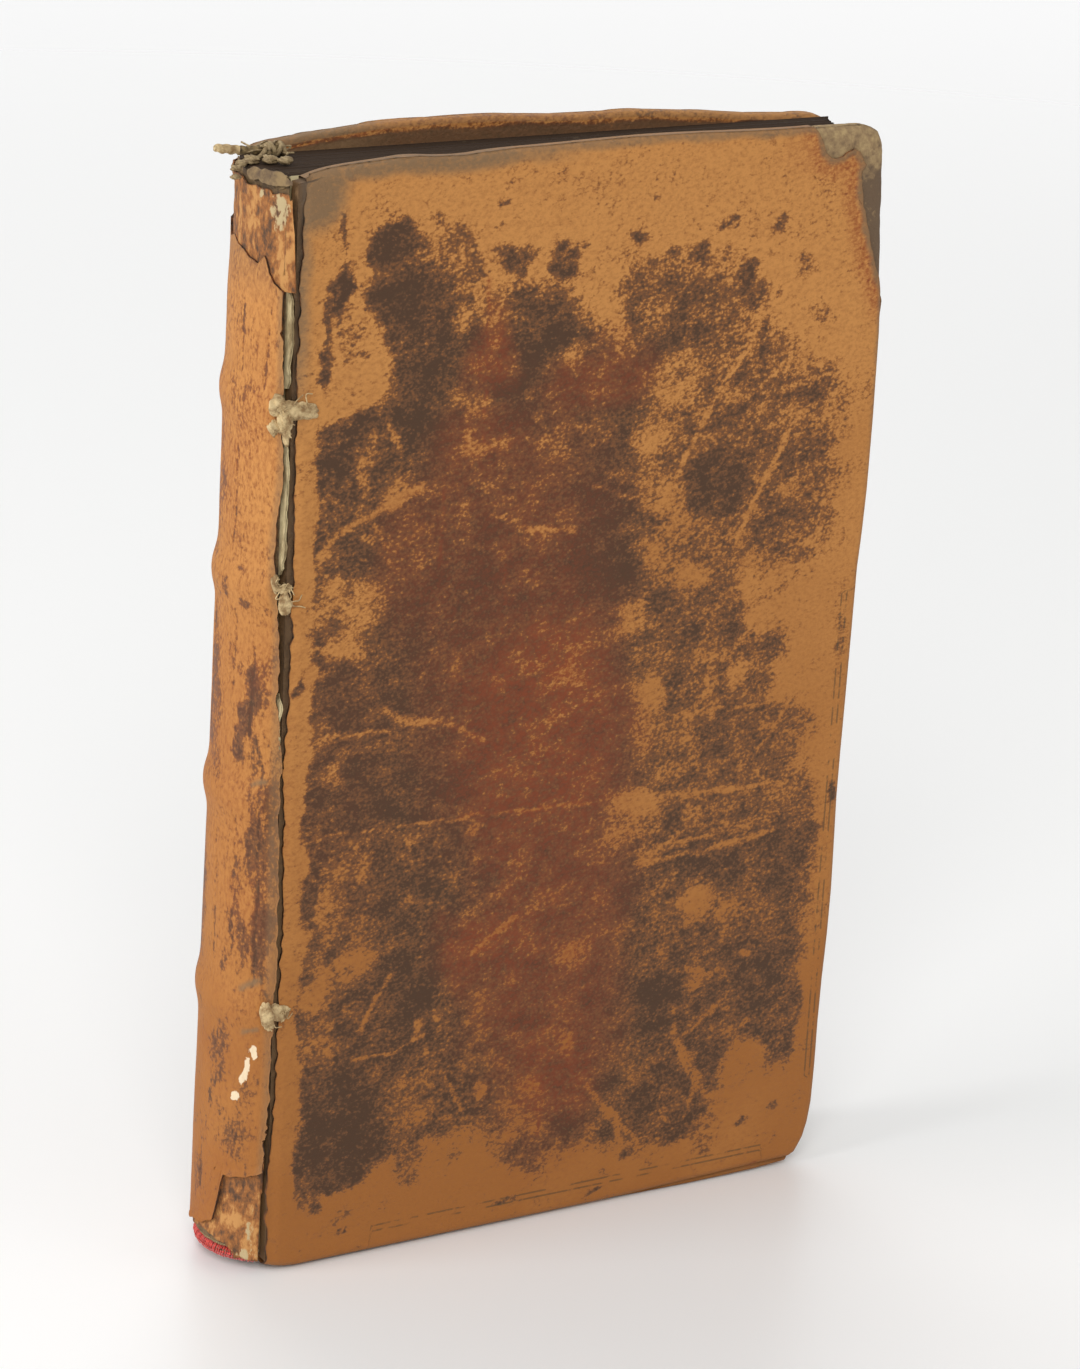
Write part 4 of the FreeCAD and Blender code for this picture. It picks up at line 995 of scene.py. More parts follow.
def build_board(cover):
    """A cover's pasteboard. The front one's bare head corner is swollen and split into its layers."""
    u = spaced(90, COVER_WIDTH, 0, 0.12, 16)
    v = spaced(120, COVER_HEIGHT, 0, 0.12, 26)
    tail, head, joint, fore = [resample(*pair) for pair in zip(cover_outline(cover), (u, u, v, v))]
    joint[:, 0] = tail[0, 0] = head[0, 0] = BOARD_JOINT
    grid = patch(tail, head, joint, fore, u, v)
    x, z = grid[..., 0], grid[..., 1]
    distance = free_edge_distance(cover, x, z)
    bare = np.zeros(x.shape)
    if cover == "front":
        bare = smooth(-1.2, 0.2, inside(x, z, [*CORNER_TEAR, (100, 172)]))
    # Under the leather the board draws in; bare, it keeps its full size
    pull = UNDER_LEATHER * (1 - bare) + 0.12
    out_x, out_z = 2 * x / COVER_WIDTH - 1, 2 * z / COVER_HEIGHT - 1
    x = x - np.sign(out_x) * pull * smooth(0.9, 1.0, np.abs(out_x)) * (u[None] > 0.5)
    z = z - np.sign(out_z) * pull * smooth(0.9, 1.0, np.abs(out_z))
    lumpy = mottle(x, z, 2.2, 121, 4)
    y = UNDER_LEATHER * (1 - bare) + bare * (0.22 + 0.16 * lumpy + edge_drop(distance, 1.6))
    face = np.stack([x, y, z], -1)
    shape = Shape()
    # Dirt on the bare corner towards the head, and along the joint edge painted shade of the crack
    dirt = np.maximum(0.45 * bare * smooth(166, 160, z + 1.5 * mottle(x, z, 4, 123)), smooth(3.5, 2.0, x))
    number = shape.add(place(face, cover), dirt=dirt)
    shape.weave(number, flip=cover == "back")
    loop, line = all_round(number), all_round(face)
    amount, rim_dirt = [all_round(a) for a in (bare, dirt)]
    rows = [loop]
    for layer, depth in enumerate(np.linspace(0.14, 1.0, 9)):
        ring = line.copy()
        ring[:, 1] = line[:, 1] * (1 - depth) + BOARD_INNER * depth
        sway = amount * 0.22 * mottle(np.arange(len(line)) * 0.12 + 7 * layer, layer * 3.1, 1.0, 131)
        ring[:, 0] -= np.abs(sway)
        ring[:, 2] -= np.abs(sway) * 0.6
        rows.append(shape.add(place(ring, cover), dirt=rim_dirt))
    inner = line * 0.7 + np.array([COVER_WIDTH / 2, 0, COVER_HEIGHT / 2]) * 0.3
    inner[:, 1] = BOARD_INNER
    rows.append(shape.add(place(inner, cover), dirt=0.0))
    shape.weave(np.array(rows), flip=cover == "back")
    return shape.build(f"{cover}_pasteboard", [MATERIALS["board"]])


# Spine

def spine_arc(z):
    """Centre x, radius and half angle of the back's arc at a height."""
    half, depth = [tail + (head - tail) * z / COVER_HEIGHT for tail, head in (BACK_HALF, BACK_DEPTH)]
    radius = (half ** 2 + depth ** 2) / (2 * depth)
    return radius - depth - SHOULDER_STEP, radius, np.arccos((radius - depth) / radius)


def spine_point(s, z, lift):
    """A point round the spine, lifted outward; past the shoulders it runs on to the covers' faces."""
    centre, radius, half = spine_arc(z)
    reach = radius + SPINE_OFFSET
    limit = reach * half
    angle = np.clip(s, -limit, limit) / reach
    x, y = centre - (reach + lift) * np.cos(angle), (reach + lift) * np.sin(angle)
    # Bridge from the shoulder to a cover's face, as a cubic curve
    side = np.where(s < 0, -1.0, 1.0)
    start = np.stack([centre - reach * np.cos(half), reach * np.sin(half)], -1)
    away = np.stack([np.sin(half), np.cos(half)], -1)
    end = np.stack([np.full_like(start[..., 0], BRIDGE_END),
                    HINGE_HALF - BRIDGE_END * math.tan(TOE) * np.ones_like(half)], -1)
    level = np.array([math.cos(TOE), -math.sin(TOE)])
    length = np.hypot(*np.moveaxis(end - start, -1, 0))
    t = np.clip((np.abs(s) - limit) / length, 0, 1)[..., None]
    handle = 0.38 * length[..., None]
    p1, p2 = start + away * handle, end - level * handle
    bridge = (1 - t) ** 3 * start + 3 * (1 - t) ** 2 * t * p1 + 3 * (1 - t) * t ** 2 * p2 + t ** 3 * end
    beyond = np.maximum(np.abs(s) - limit - length, 0)[..., None] * level
    bridge = bridge + beyond
    past = np.abs(s) > limit
    x = np.where(past, bridge[..., 0] - lift * np.sin(half) * (1 - t[..., 0]), x)
    y = np.where(past, side * (bridge[..., 1] + lift * (0.3 + 0.7 * (1 - t[..., 0]))), y)
    return np.stack([HINGE_X + x, y, z * np.ones_like(x)], -1), limit, limit + length


def band_lift(s, z, limit):
    """Relief of the spine's leather: raised bands, hollow panels and creases."""
    sizes = bpy.context.scene.book_sizes
    height = sizes.band_height / MM
    lift = np.zeros(np.broadcast(s, z).shape)
    for band, share in zip(BANDS, BAND_SHARES):
        place_z = band + 0.5 * mottle(s, band, 7, 141)
        lift = np.maximum(lift, height * share * np.exp(-np.abs((z - place_z) / 2.9) ** 2.2))
    fade = smooth(0.9, -1.2, np.abs(s) - limit)
    lift = lift * fade - 0.25 * smooth(148, 158, z) * smooth(0.6, -2.2, np.abs(s) - limit)
    lift = lift + 0.09 * mottle(s * 1.4, z, 11, 143, 4) * smooth(0.8, -1.5, np.abs(s) - limit)
    return lift


def spine_values(s, z, limit):
    stain = paint(s, z, SPINE_PATCHES, 151, -0.02 + 0.12 * mottle(s * 1.6, z * 0.7, 5, 153, 4), 3.5, 1.1)
    # Darker on each band's flanks: painted shade beside the raised bands
    for band in BANDS:
        stain = stain + 0.09 * smooth(3.8, 2.6, np.abs(z - band)) * smooth(1.4, 2.4, np.abs(z - band))
    creases = strokes(s, z, SPINE_CREASES, 155)
    stain = stain + 0.6 * creases
    soil = 0.5 * smooth(-0.6, 0.4, np.abs(s) - limit) * (s < 0) + 0.45 * smooth(148, 158, z)
    soil = np.maximum(soil, 0.6 * smooth(1.4, 0.2, s - along(SPINE_CRACK, z)))
    soil = np.maximum(soil, strokes(s, z, SPINE_SCUFFS, 158))
    ruddy = 0.25 + 0.3 * mottle(s, z, 12, 157)
    fleck = paint(s, z, FLECKS, 159, 0.0, 1.5, 0.25)
    return {"stain": stain, "ruddy": np.clip(ruddy, 0, 1), "soil": np.clip(soil, 0, 1), "fleck": fleck,
            "from_edge": np.full(stain.shape, RULE_FAR)}, creases


def build_spine_leather():
    """The spine's leather, from its torn front edge round the back joint to the back cover's face."""
    rows, columns = 430, 76
    v = np.linspace(0, 1, rows)
    crack = ragged(SPINE_CRACK, 0.28, 1.8, 161)
    order = np.argsort(crack[:, 0])
    level = np.linspace(SPINE_TAIL, SPINE_HEAD, rows)
    _, _, end = spine_point(np.zeros(rows), level, 0.0)
    first = np.interp(level, crack[order, 0], crack[order, 1])
    u = spaced(columns, 26.0, 0.6, 0.45)
    s = first[:, None] * (1 - u) + (end + BACK_SEAM - BRIDGE_END)[:, None] * u
    head = ragged(HEAD_TEAR, 0.3, 1.2, 163)
    tail = ragged(TAIL_TEAR, 0.25, 1.2, 165)
    low = np.interp(s[0], *tail[np.argsort(tail[:, 0])].T)
    high = np.interp(s[-1], *head[np.argsort(head[:, 0])].T)
    low[-4:], high[-4:] = np.linspace(low[-5], 0.9, 4), np.linspace(high[-5], 168.9, 4)
    z = level[:, None] + (low - level[0])[None] * smooth(0.16, 0, v)[:, None]
    z = z + (high - level[-1])[None] * smooth(0.88, 1, v)[:, None]
    _, limit, _ = spine_point(s, z, 0.0)
    values, creases = spine_values(s, z, limit)
    lift = band_lift(s, z, limit) - 0.12 * creases
    curl = smooth(1.2, 0, z - low[None]) * smooth(4, 8, np.abs(s - 9))
    lift = lift + 0.3 * curl * (1 + mottle(s, z, 2, 167))
    face, _, _ = spine_point(s, z, lift)
    deep, _, _ = spine_point(s, z, lift - 0.45)
    shape = Shape()
    number = shape.add(face, **values)
    shape.weave(number, flip=True)
    # Its torn edges: along the front joint, at the head and at the tail
    for edge, back, flip in ((np.s_[:, 0], np.s_[:, 6], False), (np.s_[-1, :], np.s_[-7, :], False),
                             (np.s_[0, :], np.s_[6, :], True)):
        pick = {k: a[edge] for k, a in values.items()}
        torn = [number[edge], shape.add(deep[edge], **pick), shape.add(deep[back], **pick)]
        shape.weave(np.array(torn), 1, flip=flip)
    return shape.build("spine_calf", [MATERIALS["spine_calf"], MATERIALS["torn"]])


def build_inner_layers():
    """What is left of the leather's inner layer past the outer layer's tears at head and tail."""
    made = []
    for name, near, far, seed in (("spine_head_torn_layer", 150.0, HEAD_INNER_EDGE, 171),
                                  ("spine_tail_torn_layer", 19.5, TAIL_INNER_EDGE, 173)):
        edge = ragged(far, 0.35, 1.4, seed)
        s = np.linspace(edge[0, 0], edge[-1, 0], 90)
        reach = np.interp(s, *edge[np.argsort(edge[:, 0])].T)
        v = np.linspace(0, 1, 60)[:, None]
        start = near + 2.5 * smooth(-8.2, -9.4, s) * name.startswith("spine_head")
        z = start * (1 - v) + reach[None] * v
        s = np.broadcast_to(s, z.shape)
        rough = mottle(s, z, 2.6, seed + 1, 4)
        curl = 0.5 * smooth(0.85, 1.0, v) * (0.5 + mottle(s, 0, 3, seed + 2))
        lift = SKIVED_OFFSET - SPINE_OFFSET - 0.05 + 0.12 * rough + curl
        face, _, _ = spine_point(s, z, lift)
        under, _, _ = spine_point(s, z, lift - 0.22)
        shape = Shape()
        fresh, pasted = paint(s, z, FRESH_TEARS, 175, 0.3, 2, 0.6), paint(s, z, PASTED, 177, 0.0, 2, 0.6)
        top, low = shape.add(face, fresh=fresh, pasted=pasted), shape.add(under)
        shape.weave(top, flip=name.startswith("spine_head"))
        shape.weave(low, flip=not name.startswith("spine_head"))
        for a, b in ((top[:, 0], low[:, 0]), (top[:, -1], low[:, -1]), (top[-1], low[-1])):
            shape.weave(np.array([a, b]))
        made.append(shape.build(name, [MATERIALS["torn"]]))
    return made


# Pages

def build_pages():
    """The sewn leaves: rounded and backed at the spine, hollow at the fore edge, uneven leaf by leaf."""
    leaves = np.linspace(-1, 1, 110)
    across = np.concatenate([np.linspace(0, 0.06, 14), np.linspace(0.08, 1, 60)])
    heights = np.linspace(0, 1, 60)

    def at(a, l, b):
        """a from spine to fore edge, l from front to back leaf, b from tail to head."""
        a, l, b = np.broadcast_arrays(a, l, b)
        high = PAGES_HEAD - 0.12 - 0.16 * mottle(l * 28, 0.5, 1, 181, 3) - 0.1 * mottle(l * 5, 0, 1, 182)
        low = PAGES_TAIL + 0.1 + 0.14 * mottle(l * 28, 0.5, 1, 183, 3)
        z = low + (high - low) * b
        centre, radius, half = spine_arc(z)
        spine_x = centre - radius * np.cos(half * np.abs(l) ** 0.9 * np.sign(l))
        hollow = 1.6 * (1 - l ** 2) + 0.25 * mottle(l * 30, 0.3, 1, 184, 3)
        x = spine_x + a * (PAGES_FORE - hollow - spine_x)
        shoulder = radius * np.sin(half * np.abs(l) ** 0.9) * np.sign(l)
        half_pages = PAGE_JOINT_HALF - np.clip(x, 0, None) * math.tan(TOE)
        y = l * half_pages
        y = y + (shoulder - y) * smooth(0.25, -0.2, x)
        return np.stack([HINGE_X + x, y, z], -1), l * 85.0, b

    shape = Shape()

    def side(a, l, b, finish, flip):
        points, leaf, share = at(a, l, b)
        # Soot and painted shade on the head of the block
        number = shape.add(points, leaf=leaf, soot=smooth(0.985, 1.0, share) if finish == 0 else 0.0 * share)
        shape.weave(number, finish, flip)

    for end in (-1.0, 1.0):
        side(across[None, :], end, heights[:, None], 1, end > 0)
    for end in (0.0, 1.0):
        side(end, leaves[None, :], heights[:, None], 0, end == 0)
        side(across[:, None], leaves[None, :], end, 0, end == 1)
    return shape.build("page_block", [MATERIALS["edges"], MATERIALS["paper"]], weld=0.002)


# Loose parts at head, tail and joint

def tube(points, radius, sides=8, twist=0.0, ribs=0):
    """A round bar along points, its section ribbed and turning if it is a twisted cord."""
    points = np.asarray(points, float)
    way = np.gradient(points, axis=0)
    way /= np.linalg.norm(way, axis=1)[:, None]
    up = np.array([0.3, 0.2, 1.0])
    across = np.cross(way, up)
    across /= np.linalg.norm(across, axis=1)[:, None]
    other = np.cross(way, across)
    run = np.concatenate([[0], np.cumsum(np.linalg.norm(np.diff(points, axis=0), axis=1))])
    angle = np.linspace(0, 2 * math.pi, sides + 1)[None, :] + (twist * run)[:, None]
    width = np.broadcast_to(np.asarray(radius, float), (len(points),))[:, None]
    if ribs:
        width = width * (1 + 0.16 * np.cos(ribs * np.linspace(0, 2 * math.pi, sides + 1))[None, :])
    way_out = np.cos(angle)[..., None] * across[:, None] + np.sin(angle)[..., None] * other[:, None]
    return points[:, None] + width[..., None] * way_out


def curve_through(points, count):
    """A smooth line through a few points."""
    points = np.asarray(points, float)
    run = np.concatenate([[0], np.cumsum(np.linalg.norm(np.diff(points, axis=0), axis=1))])
    t = np.linspace(0, run[-1], count)
    slopes = np.gradient(points, run, axis=0)
    at = np.clip(np.searchsorted(run, t, side="right") - 1, 0, len(points) - 2)
    h = (run[at + 1] - run[at])[:, None]
    f = ((t - run[at])[:, None]) / h
    return ((2 * f ** 3 - 3 * f ** 2 + 1) * points[at] + (f ** 3 - 2 * f ** 2 + f) * h * slopes[at]
            + (-2 * f ** 3 + 3 * f ** 2) * points[at + 1] + (f ** 3 - f ** 2) * h * slopes[at + 1])


def closed_tube(shape, points, radius, finish=0, **how):
    ring = tube(points, radius, **how)
    number = shape.add(ring)
    shape.weave(number, finish)
    for end, flip in ((0, False), (-1, True)):
        middle = np.repeat(np.asarray(points, float)[end][None, None], ring.shape[1], 1)[0]
        shape.weave(np.array([number[end], shape.add(middle)]), finish, flip=flip)


def loose_core_line():
    bends = np.array(LOOSE_CORE) + [HINGE_X, 0, 0]
    return curve_through(bends, 40)


def lump(shape, middle, reach, seed, finish=0):
    """A knot of matted fibre: a rounded mass with an uneven face."""
    turn = np.linspace(0, 2 * math.pi, 40)[None, :]
    tilt = np.linspace(0, math.pi, 24)[:, None]
    way = np.stack([np.sin(tilt) * np.cos(turn), np.sin(tilt) * np.sin(turn), np.cos(tilt) + 0 * turn], -1)
    across, up = 2.1 * way[..., 0] + 1.7 * way[..., 2], 2.1 * way[..., 1] - way[..., 2]
    bulge = 1 + 0.55 * mottle(across, up, 1.7, seed)
    shape.weave(shape.add(np.array(middle) + way * bulge[..., None] * np.array(reach)), finish)


def build_head_pieces():
    """The endband's core, sprung loose and poking out past the spine, and the threads knotted on it."""
    rng = np.random.default_rng(7)
    line = loose_core_line()
    core = Shape()
    width = 0.6 + 0.05 * mottle(np.arange(len(line)), 0, 6, 191)
    width[-4:] *= np.array([1.0, 0.95, 0.85, 0.6])
    closed_tube(core, line[:26], width[:26], sides=18, twist=1.4, ribs=3)
    closed_tube(core, line[25:], width[25:] * 1.04, finish=1, sides=18, twist=1.4, ribs=3)
    core = core.build("loose_endband_core", [MATERIALS["grimy_hemp"], MATERIALS["hemp"]], weld=0.002)
    wraps = Shape()
    for turn in range(5):
        at = line[1 + 3 * turn] + rng.normal(0, 0.12, 3)
        t = np.linspace(0, 2 * math.pi, 26)
        lean = rng.uniform(-0.7, 0.7)
        loop = np.column_stack([lean * np.cos(t) + 0.4 * t / 6, 1.15 * np.sin(t), 0.85 * np.cos(t)]) + at
        loop[:, 2] = np.clip(loop[:, 2], PAGES_HEAD + 0.1, 171.2)
        closed_tube(wraps, loop, 0.36, sides=8)
    for x, y, z, size in THREAD_LUMPS:
        lump(wraps, (HINGE_X + x, y, z), (1.25 * size, size, 0.62 * size), 193 + int(size * 10))
    for _ in range(7):
        at = line[rng.integers(2, 20)]
        path = [at + rng.normal(0, 0.3, 3)]
        for _ in range(4):
            path.append(path[-1] + rng.normal(0, 1.0, 3) * np.array([1, 0.8, 0.35]))
        path = np.array(path)
        path[:, 2] = np.clip(path[:, 2], PAGES_HEAD + 0.15, 171.3)
        closed_tube(wraps, curve_through(path, 24), 0.15, sides=6)
    wraps = wraps.build("loose_endband_threads", [MATERIALS["linen"]], weld=0.002)
    return core, wraps


def build_head_cap():
    """The leather folded over the head of the spine, dried into a grey crumpled roll."""
    s = np.linspace(CAP_START, CAP_END, 60)[None, :]
    t = np.linspace(0, 1, 34)[:, None]
    fold = t * 2 * math.pi * 0.8
    swell = 1 + 0.3 * mottle(s, 0, 2.4, 201)
    z = 167.9 + 1.15 * np.sin(fold - 0.6) * swell + 0.25 * mottle(s, t * 4, 2.0, 203)
    lift = -0.45 + 0.55 * np.cos(fold - 0.6) * swell + 0.15 * mottle(s, t * 5, 1.6, 205)
    s = s + 0 * t
    ends = smooth(0, 1.4, s - CAP_START) * smooth(0, 1.0, CAP_END - s)
    kept = 0.35 + 0.65 * ends
    face, _, _ = spine_point(s, CAP_LEVEL + (z - CAP_LEVEL) * kept, lift * kept)
    shape = Shape()
    shape.weave(shape.add(face), flip=True)
    return shape.build("head_cap", [MATERIALS["soiled"]])


def build_joint_papers():
    """Torn edges of lining paper standing in the cracked joint."""
    made = []
    for name, low, high, seed in JOINT_PAPERS:
        z = np.linspace(low, high, int((high - low) * 4))[:, None]
        t = np.linspace(0, 1, 7)[None, :]
        ends = smooth(0, 1.5, z - low) * smooth(0, 1.5, high - z)
        sway = 0.35 * mottle(z, t, 3.4, seed)
        x = -0.45 + sway * t + 0.35 * t
        y = STRIP_Y - (1.35 + 0.45 * mottle(z, 0, 2.4, seed + 1)) * t * (0.3 + 0.7 * ends)
        sheet = np.stack([HINGE_X + x, y, z + 0 * t], -1)
        other = sheet + np.array([0.26, 0.0, 0.0])
        shape = Shape()
        a, b = shape.add(sheet), shape.add(other)
        shape.weave(a)
        shape.weave(b, flip=True)
        for near, far in ((a[:, -1], b[:, -1]), (a[0], b[0]), (a[-1], b[-1])):
            shape.weave(np.array([near, far]))
        made.append((shape.build(f"joint_paper_strip_{name}", [MATERIALS["strip"]]), f"joint_paper_{name}"))
    return made


def build_cord_ends():
    """Sewing cords broken at the front joint, their matted ends still holding the cover."""
    rng = np.random.default_rng(19)
    made = []
    for name, level, knots in CORD_KNOTS:
        shape = Shape()
        for number, (x, z, wide, high) in enumerate(knots):
            y = COVER_KNOT_Y if x > -1 else SPINE_KNOT_Y
            lump(shape, (HINGE_X + x, y, level + z), (wide, 0.42 * high, high), 31 * number + int(level))
        for fibre in range(9):
            x, z, wide, high = knots[fibre % len(knots)]
            path = [np.array([HINGE_X + x + rng.normal(0, 0.4 * wide), FIBRE_Y,
                              level + z + rng.normal(0, 0.4 * high)])]
            for _ in range(3):
                step = [rng.uniform(-0.5, 1.1), rng.uniform(-0.12, 0.1), rng.normal(0, 0.7)]
                path.append(path[-1] + np.array(step))
            closed_tube(shape, curve_through(path, 14), 0.09, sides=5)
        made.append(shape.build(f"frayed_cord_{name}", [MATERIALS["hemp"]], weld=0.002))
    return made


def build_tail_silk():
    """Red silk wound over the tail endband's core, its turns uneven and loosening."""
    level = PAGES_TAIL - SILK_DROP
    centre, radius, half = spine_arc(level)
    rng = np.random.default_rng(23)
    shape = Shape()
    for angle in np.linspace(-half * 0.93, half * 0.93, SILK_TURNS):
        out = np.array([-math.cos(angle), math.sin(angle), 0])
        base = np.array([HINGE_X + centre, 0, level]) + (radius - SILK_INSET) * out
        side = np.array([math.sin(angle), math.cos(angle), 0])
        t = np.linspace(0, 2 * math.pi, 20)
        big = 0.78 + rng.uniform(-0.05, 0.08)
        ring = np.cos(t)[:, None] * out + np.sin(t)[:, None] * np.array([0, 0, 1])
        loop = base + big * ring + (0.17 * t / 6.28 + rng.normal(0, 0.03))[:, None] * side
        closed_tube(shape, loop, 0.17, sides=6)
    return shape.build("tail_endband_silk_turns", [MATERIALS["silk"]], weld=0.002)


# Operators

def tint(name, note, code):
    """A colour that can be set in the panel."""
    return FloatVectorProperty(name=name, description=note, default=linear(code), subtype="COLOR",
                               min=0, max=1)


class BookColours(bpy.types.PropertyGroup):
    tan_pale: tint("Pale tan", "Bare hide at its palest", "#C78A4A")
    tan_deep: tint("Deep tan", "Bare hide at its deepest", "#A0652E")
    half_stain: tint("Half stain", "Bare hide with a little stain soaked in", "#9C6432")
    thin_stain: tint("Thin stain", "The stain where the grain is nearly gone", "#7C502D")
    stain: tint("Stain", "The brown stain left in the grain", "#65452C")
    stain_deep: tint("Deep stain", "The stain where it is darkest", "#4A3422")
    ruddy: tint("Reddish stain", "The stain where it has gone red", "#8A3F1E")
    soil: tint("Soil", "Grey-brown dirt rubbed into the worn edges", "#846748")


class BookSizes(bpy.types.PropertyGroup):
    band_height: FloatProperty(name="Band height", description="How far a raised band stands out",
                               unit="LENGTH", default=0.85 * MM, min=0, max=3 * MM)


# Lamps as (name, place in metres, diameter in metres, power in watts)
LAMPS = (
    ("key", (-0.9, -1.5, 1.5), 1.3, 20.0), ("fill", (1.5, -1.2, 0.9), 1.4, 3.0),
    ("back", (0.3, 1.2, 1.6), 1.4, 8.0), ("left", (-1.7, 0.1, 0.7), 1.0, 16.0),
)
LAMPS_AIM = (0, 0, 0.08)
# The floor in metres: its radius, how far under the book it lies, and between where it fades out
FLOOR_RADIUS, FLOOR_DROP, FADE_START, FADE_END = 2.0, 0.0002, 0.35, 1.1


class BOOK_OT_stage(bpy.types.Operator):
    """Sets up the pale floor, the lights and the camera"""
    bl_idname = "book.stage"
    bl_label = "Stage"

    def execute(self, context):
        scene = context.scene
        scene.view_settings.view_transform = "Standard"
        build_floor()
        build_world(scene)
        for name, place_at, size, power in LAMPS:
            lamp = bpy.data.lights.new(name, "AREA")
            lamp.shape, lamp.size, lamp.energy = "DISK", size, power
            light = bpy.data.objects.new(name, lamp)
            light.location = place_at
            aim = Vector(LAMPS_AIM) - Vector(place_at)
            light.rotation_euler = aim.to_track_quat("-Z", "Y").to_euler()
            scene.collection.objects.link(light)
        scene.camera = build_camera(scene)
        return {"FINISHED"}


def build_floor():
    """A pale glossy floor that keeps the book's shadow and fades into the backdrop."""
    mesh = bpy.data.meshes.new("floor")
    work = bmesh.new()
    bmesh.ops.create_circle(work, cap_ends=True, radius=FLOOR_RADIUS, segments=96)
    work.to_mesh(mesh)
    work.free()
    floor = bpy.data.objects.new("floor", mesh)
    floor.location.z = -FLOOR_DROP
    bpy.context.scene.collection.objects.link(floor)
    material, tree, shader, _ = start_material("painted_board_satin")
    shader.inputs["Base Color"].default_value = rgba(linear("#FDFDFC"))
    shader.inputs["Roughness"].default_value = 0.33
    shader.inputs["IOR"].default_value = 1.4
    place_at = add(tree, "ShaderNodeTexCoord").outputs["Object"]
    reach = add(tree, "ShaderNodeVectorMath", {0: place_at}, operation="LENGTH").outputs["Value"]
    fade = add(tree, "ShaderNodeMapRange", {"Value": reach, "From Min": FADE_START, "From Max": FADE_END},
               interpolation_type="SMOOTHSTEP")
    clear = add(tree, "ShaderNodeBsdfTransparent")
    blend = add(tree, "ShaderNodeMixShader", {0: fade, 1: shader, 2: clear})
    output = next(n for n in tree.nodes if n.type == "OUTPUT_MATERIAL")
    tree.links.new(blend.outputs[0], output.inputs["Surface"])
    floor.data.materials.append(material)


def build_world(scene):
    """Even white light all round, seen by the camera and in reflections as a near-white backdrop."""
    world = bpy.data.worlds.new("studio")
    world.use_nodes = True
    tree = world.node_tree
    tree.nodes.clear()
    rays = add(tree, "ShaderNodeLightPath")
    seen = add(tree, "ShaderNodeMath", {0: rays.outputs["Is Camera Ray"], 1: rays.outputs["Is Glossy Ray"]},
               operation="MAXIMUM")
    lit = add(tree, "ShaderNodeBackground", {"Color": (1, 1, 1, 1), "Strength": 0.4})
    shown = add(tree, "ShaderNodeBackground", {"Color": rgba(linear("#FAFAFA")), "Strength": 1.0})
    mixed = add(tree, "ShaderNodeMixShader", {0: seen, 1: lit, 2: shown})
    add(tree, "ShaderNodeOutputWorld", {"Surface": mixed})
    scene.world = world


# The photograph's camera: place and lens in millimetres, turns in radians
CAMERA_PLACE = (-294.867, -531.919, 308.057)
CAMERA_YAW, CAMERA_PITCH, CAMERA_ROLL = -0.50966, 0.35073, 0.05307
CAMERA_LENS = 113.07


def build_camera(scene):
    data = bpy.data.cameras.new("camera")
    data.lens, data.sensor_width = CAMERA_LENS, 36.0
    data.clip_start, data.clip_end = 0.01, 20.0
    camera = bpy.data.objects.new("camera", data)
    cy, sy = math.cos(CAMERA_YAW), math.sin(CAMERA_YAW)
    cp, sp = math.cos(CAMERA_PITCH), math.sin(CAMERA_PITCH)
    back = Vector((sy * cp, -cy * cp, sp))
    right = Vector((cy, sy, 0))
    up = back.cross(right)
    cr, sr = math.cos(CAMERA_ROLL), math.sin(CAMERA_ROLL)
    side, top = right * cr + up * sr, up * cr - right * sr
    turn = Matrix((side, top, back)).transposed().to_4x4()
    camera.matrix_world = Matrix.Translation(Vector(CAMERA_PLACE) * MM) @ turn
    scene.collection.objects.link(camera)
    return camera


class BOOK_OT_covers(bpy.types.Operator):
    """Builds both covers: worn calf over pasteboard"""
    bl_idname = "book.covers"
    bl_label = "Covers"

    def execute(self, context):
        for cover, build in (("front", build_front_leather), ("back", build_back_leather)):
            leather = build()
            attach(leather, f"{cover}_cover")
            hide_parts(f"{cover}_leather")
            board = build_board(cover)
            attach(board, f"{cover}_cover")
            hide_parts(f"{cover}_board")
        return {"FINISHED"}


class BOOK_OT_spine(bpy.types.Operator):
    """Builds the spine's leather and the torn layer under it"""
    bl_idname = "book.spine"
    bl_label = "Spine"

    def execute(self, context):
        leather = build_spine_leather()
        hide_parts("spine_leather")
        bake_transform(leather)
        for layer in build_inner_layers():
            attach(layer, "text_block")
        return {"FINISHED"}


class BOOK_OT_pages(bpy.types.Operator):
    """Builds the block of pages"""
    bl_idname = "book.pages"
    bl_label = "Pages"

    def execute(self, context):
        pages = build_pages()
        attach(pages, "text_block")
        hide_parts("text_block")
        return {"FINISHED"}


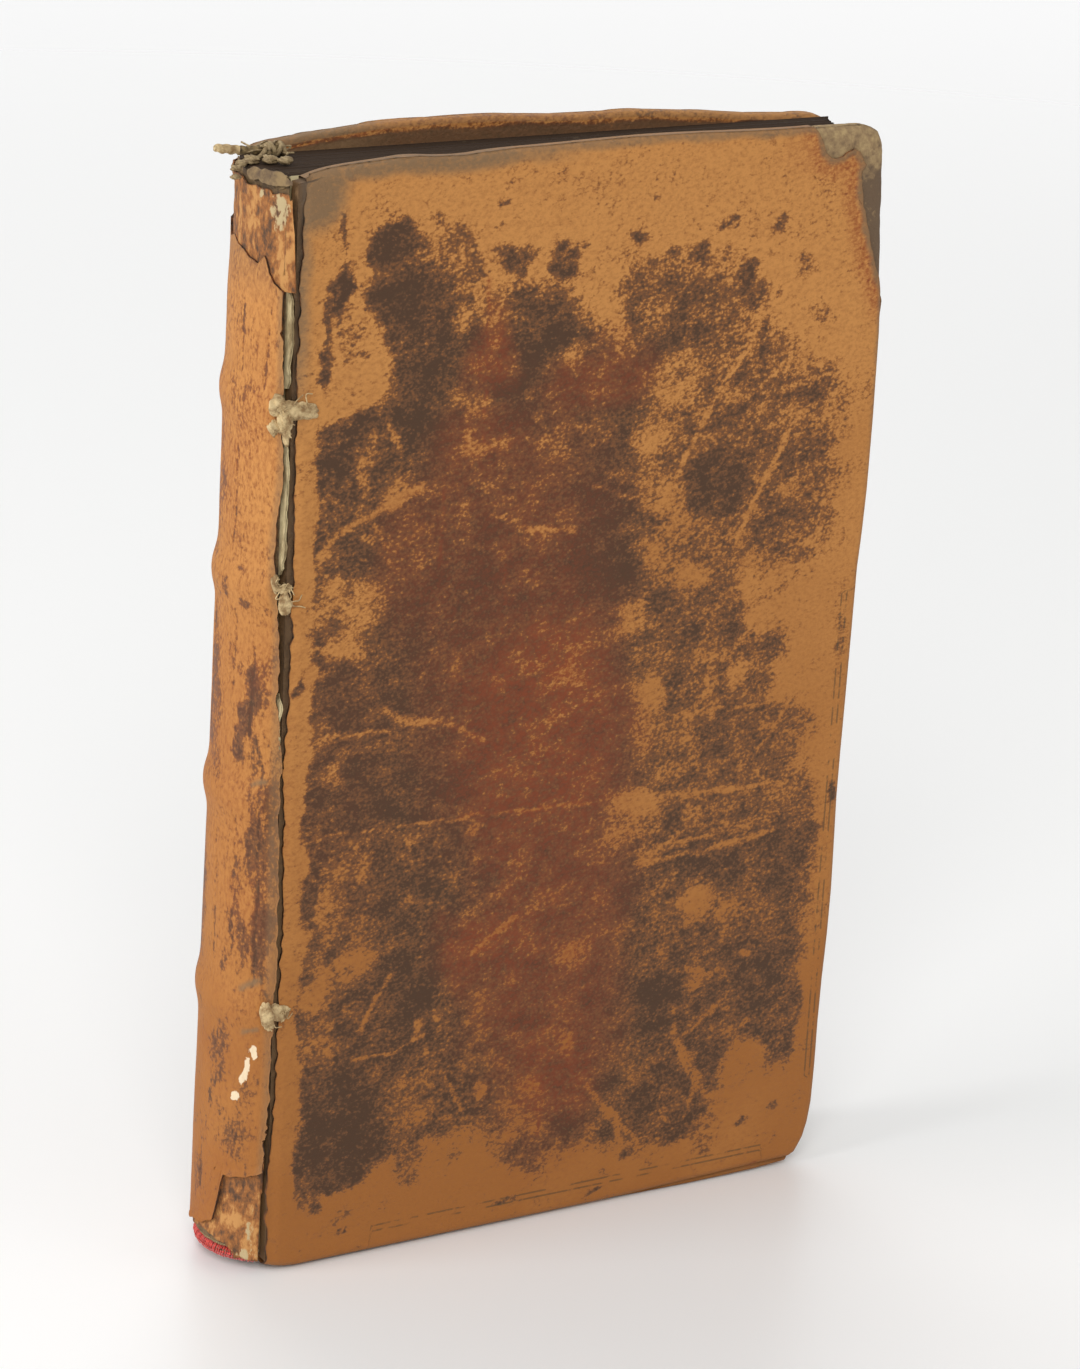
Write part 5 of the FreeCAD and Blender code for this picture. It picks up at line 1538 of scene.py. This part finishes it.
class BOOK_OT_loose_parts(bpy.types.Operator):
    """Builds the loose endband, the folded cap, the torn papers, the frayed cords and the red silk"""
    bl_idname = "book.loose_parts"
    bl_label = "Loose parts"

    def execute(self, context):
        core, threads = build_head_pieces()
        cap, silk = build_head_cap(), build_tail_silk()
        for piece, node, slot in (
                (core, "head_endband_core", "hemp_cord"), (threads, "head_endband_thread", "linen_thread"),
                (cap, "head_cap_leather", "calf"), (silk, "tail_endband_silk", "red_silk")):
            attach(piece, "text_block")
            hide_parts(node)
        for strip, node in build_joint_papers():
            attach(strip, "text_block")
            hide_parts(node)
        for cord in build_cord_ends():
            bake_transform(cord)
        return {"FINISHED"}


class BOOK_OT_frame_finishes(bpy.types.Operator):
    """Gives the shown CAD nodes their finishes"""
    bl_idname = "book.frame_finishes"
    bl_label = "Frame finishes"

    def execute(self, context):
        kinds = (("pastedown", "paper"), ("lining", "lining"), ("sewing_cord", "hemp"), ("slip", "hemp"),
                 ("sewing_thread", "linen"), ("core", "hemp"))
        for name, node in frame["nodes"].items():
            finish = next((finish for word, finish in kinds if word in name), None)
            if finish:
                node.data.materials.clear()
                node.data.materials.append(MATERIALS[finish])
        return {"FINISHED"}


class BOOK_PT_panel(bpy.types.Panel):
    """Lists what makes up the book"""
    bl_idname = "BOOK_PT_panel"
    bl_label = "Antique calf book"
    bl_space_type = "VIEW_3D"
    bl_region_type = "UI"
    bl_category = "Book"

    def draw(self, context):
        for group in (context.scene.book_colours, context.scene.book_sizes):
            for key in group.__annotations__:
                self.layout.prop(group, key)
        for operator in OPERATORS:
            self.layout.operator(operator.bl_idname)


OPERATORS = (
    BOOK_OT_stage, BOOK_OT_covers, BOOK_OT_spine, BOOK_OT_pages, BOOK_OT_loose_parts,
    BOOK_OT_frame_finishes,
)
CLASSES = (BookColours, BookSizes, *OPERATORS, BOOK_PT_panel)


def register():
    for kind in CLASSES:
        bpy.utils.register_class(kind)
    bpy.types.Scene.book_colours = PointerProperty(type=BookColours)
    bpy.types.Scene.book_sizes = PointerProperty(type=BookSizes)


def unregister():
    del bpy.types.Scene.book_sizes
    del bpy.types.Scene.book_colours
    for kind in reversed(CLASSES):
        bpy.utils.unregister_class(kind)


def main():
    register()
    MATERIALS.update(make_materials())
    for operator in OPERATORS:
        group, name = operator.bl_idname.split(".")
        getattr(getattr(bpy.ops, group), name)()


if __name__ == "__main__":
    main()
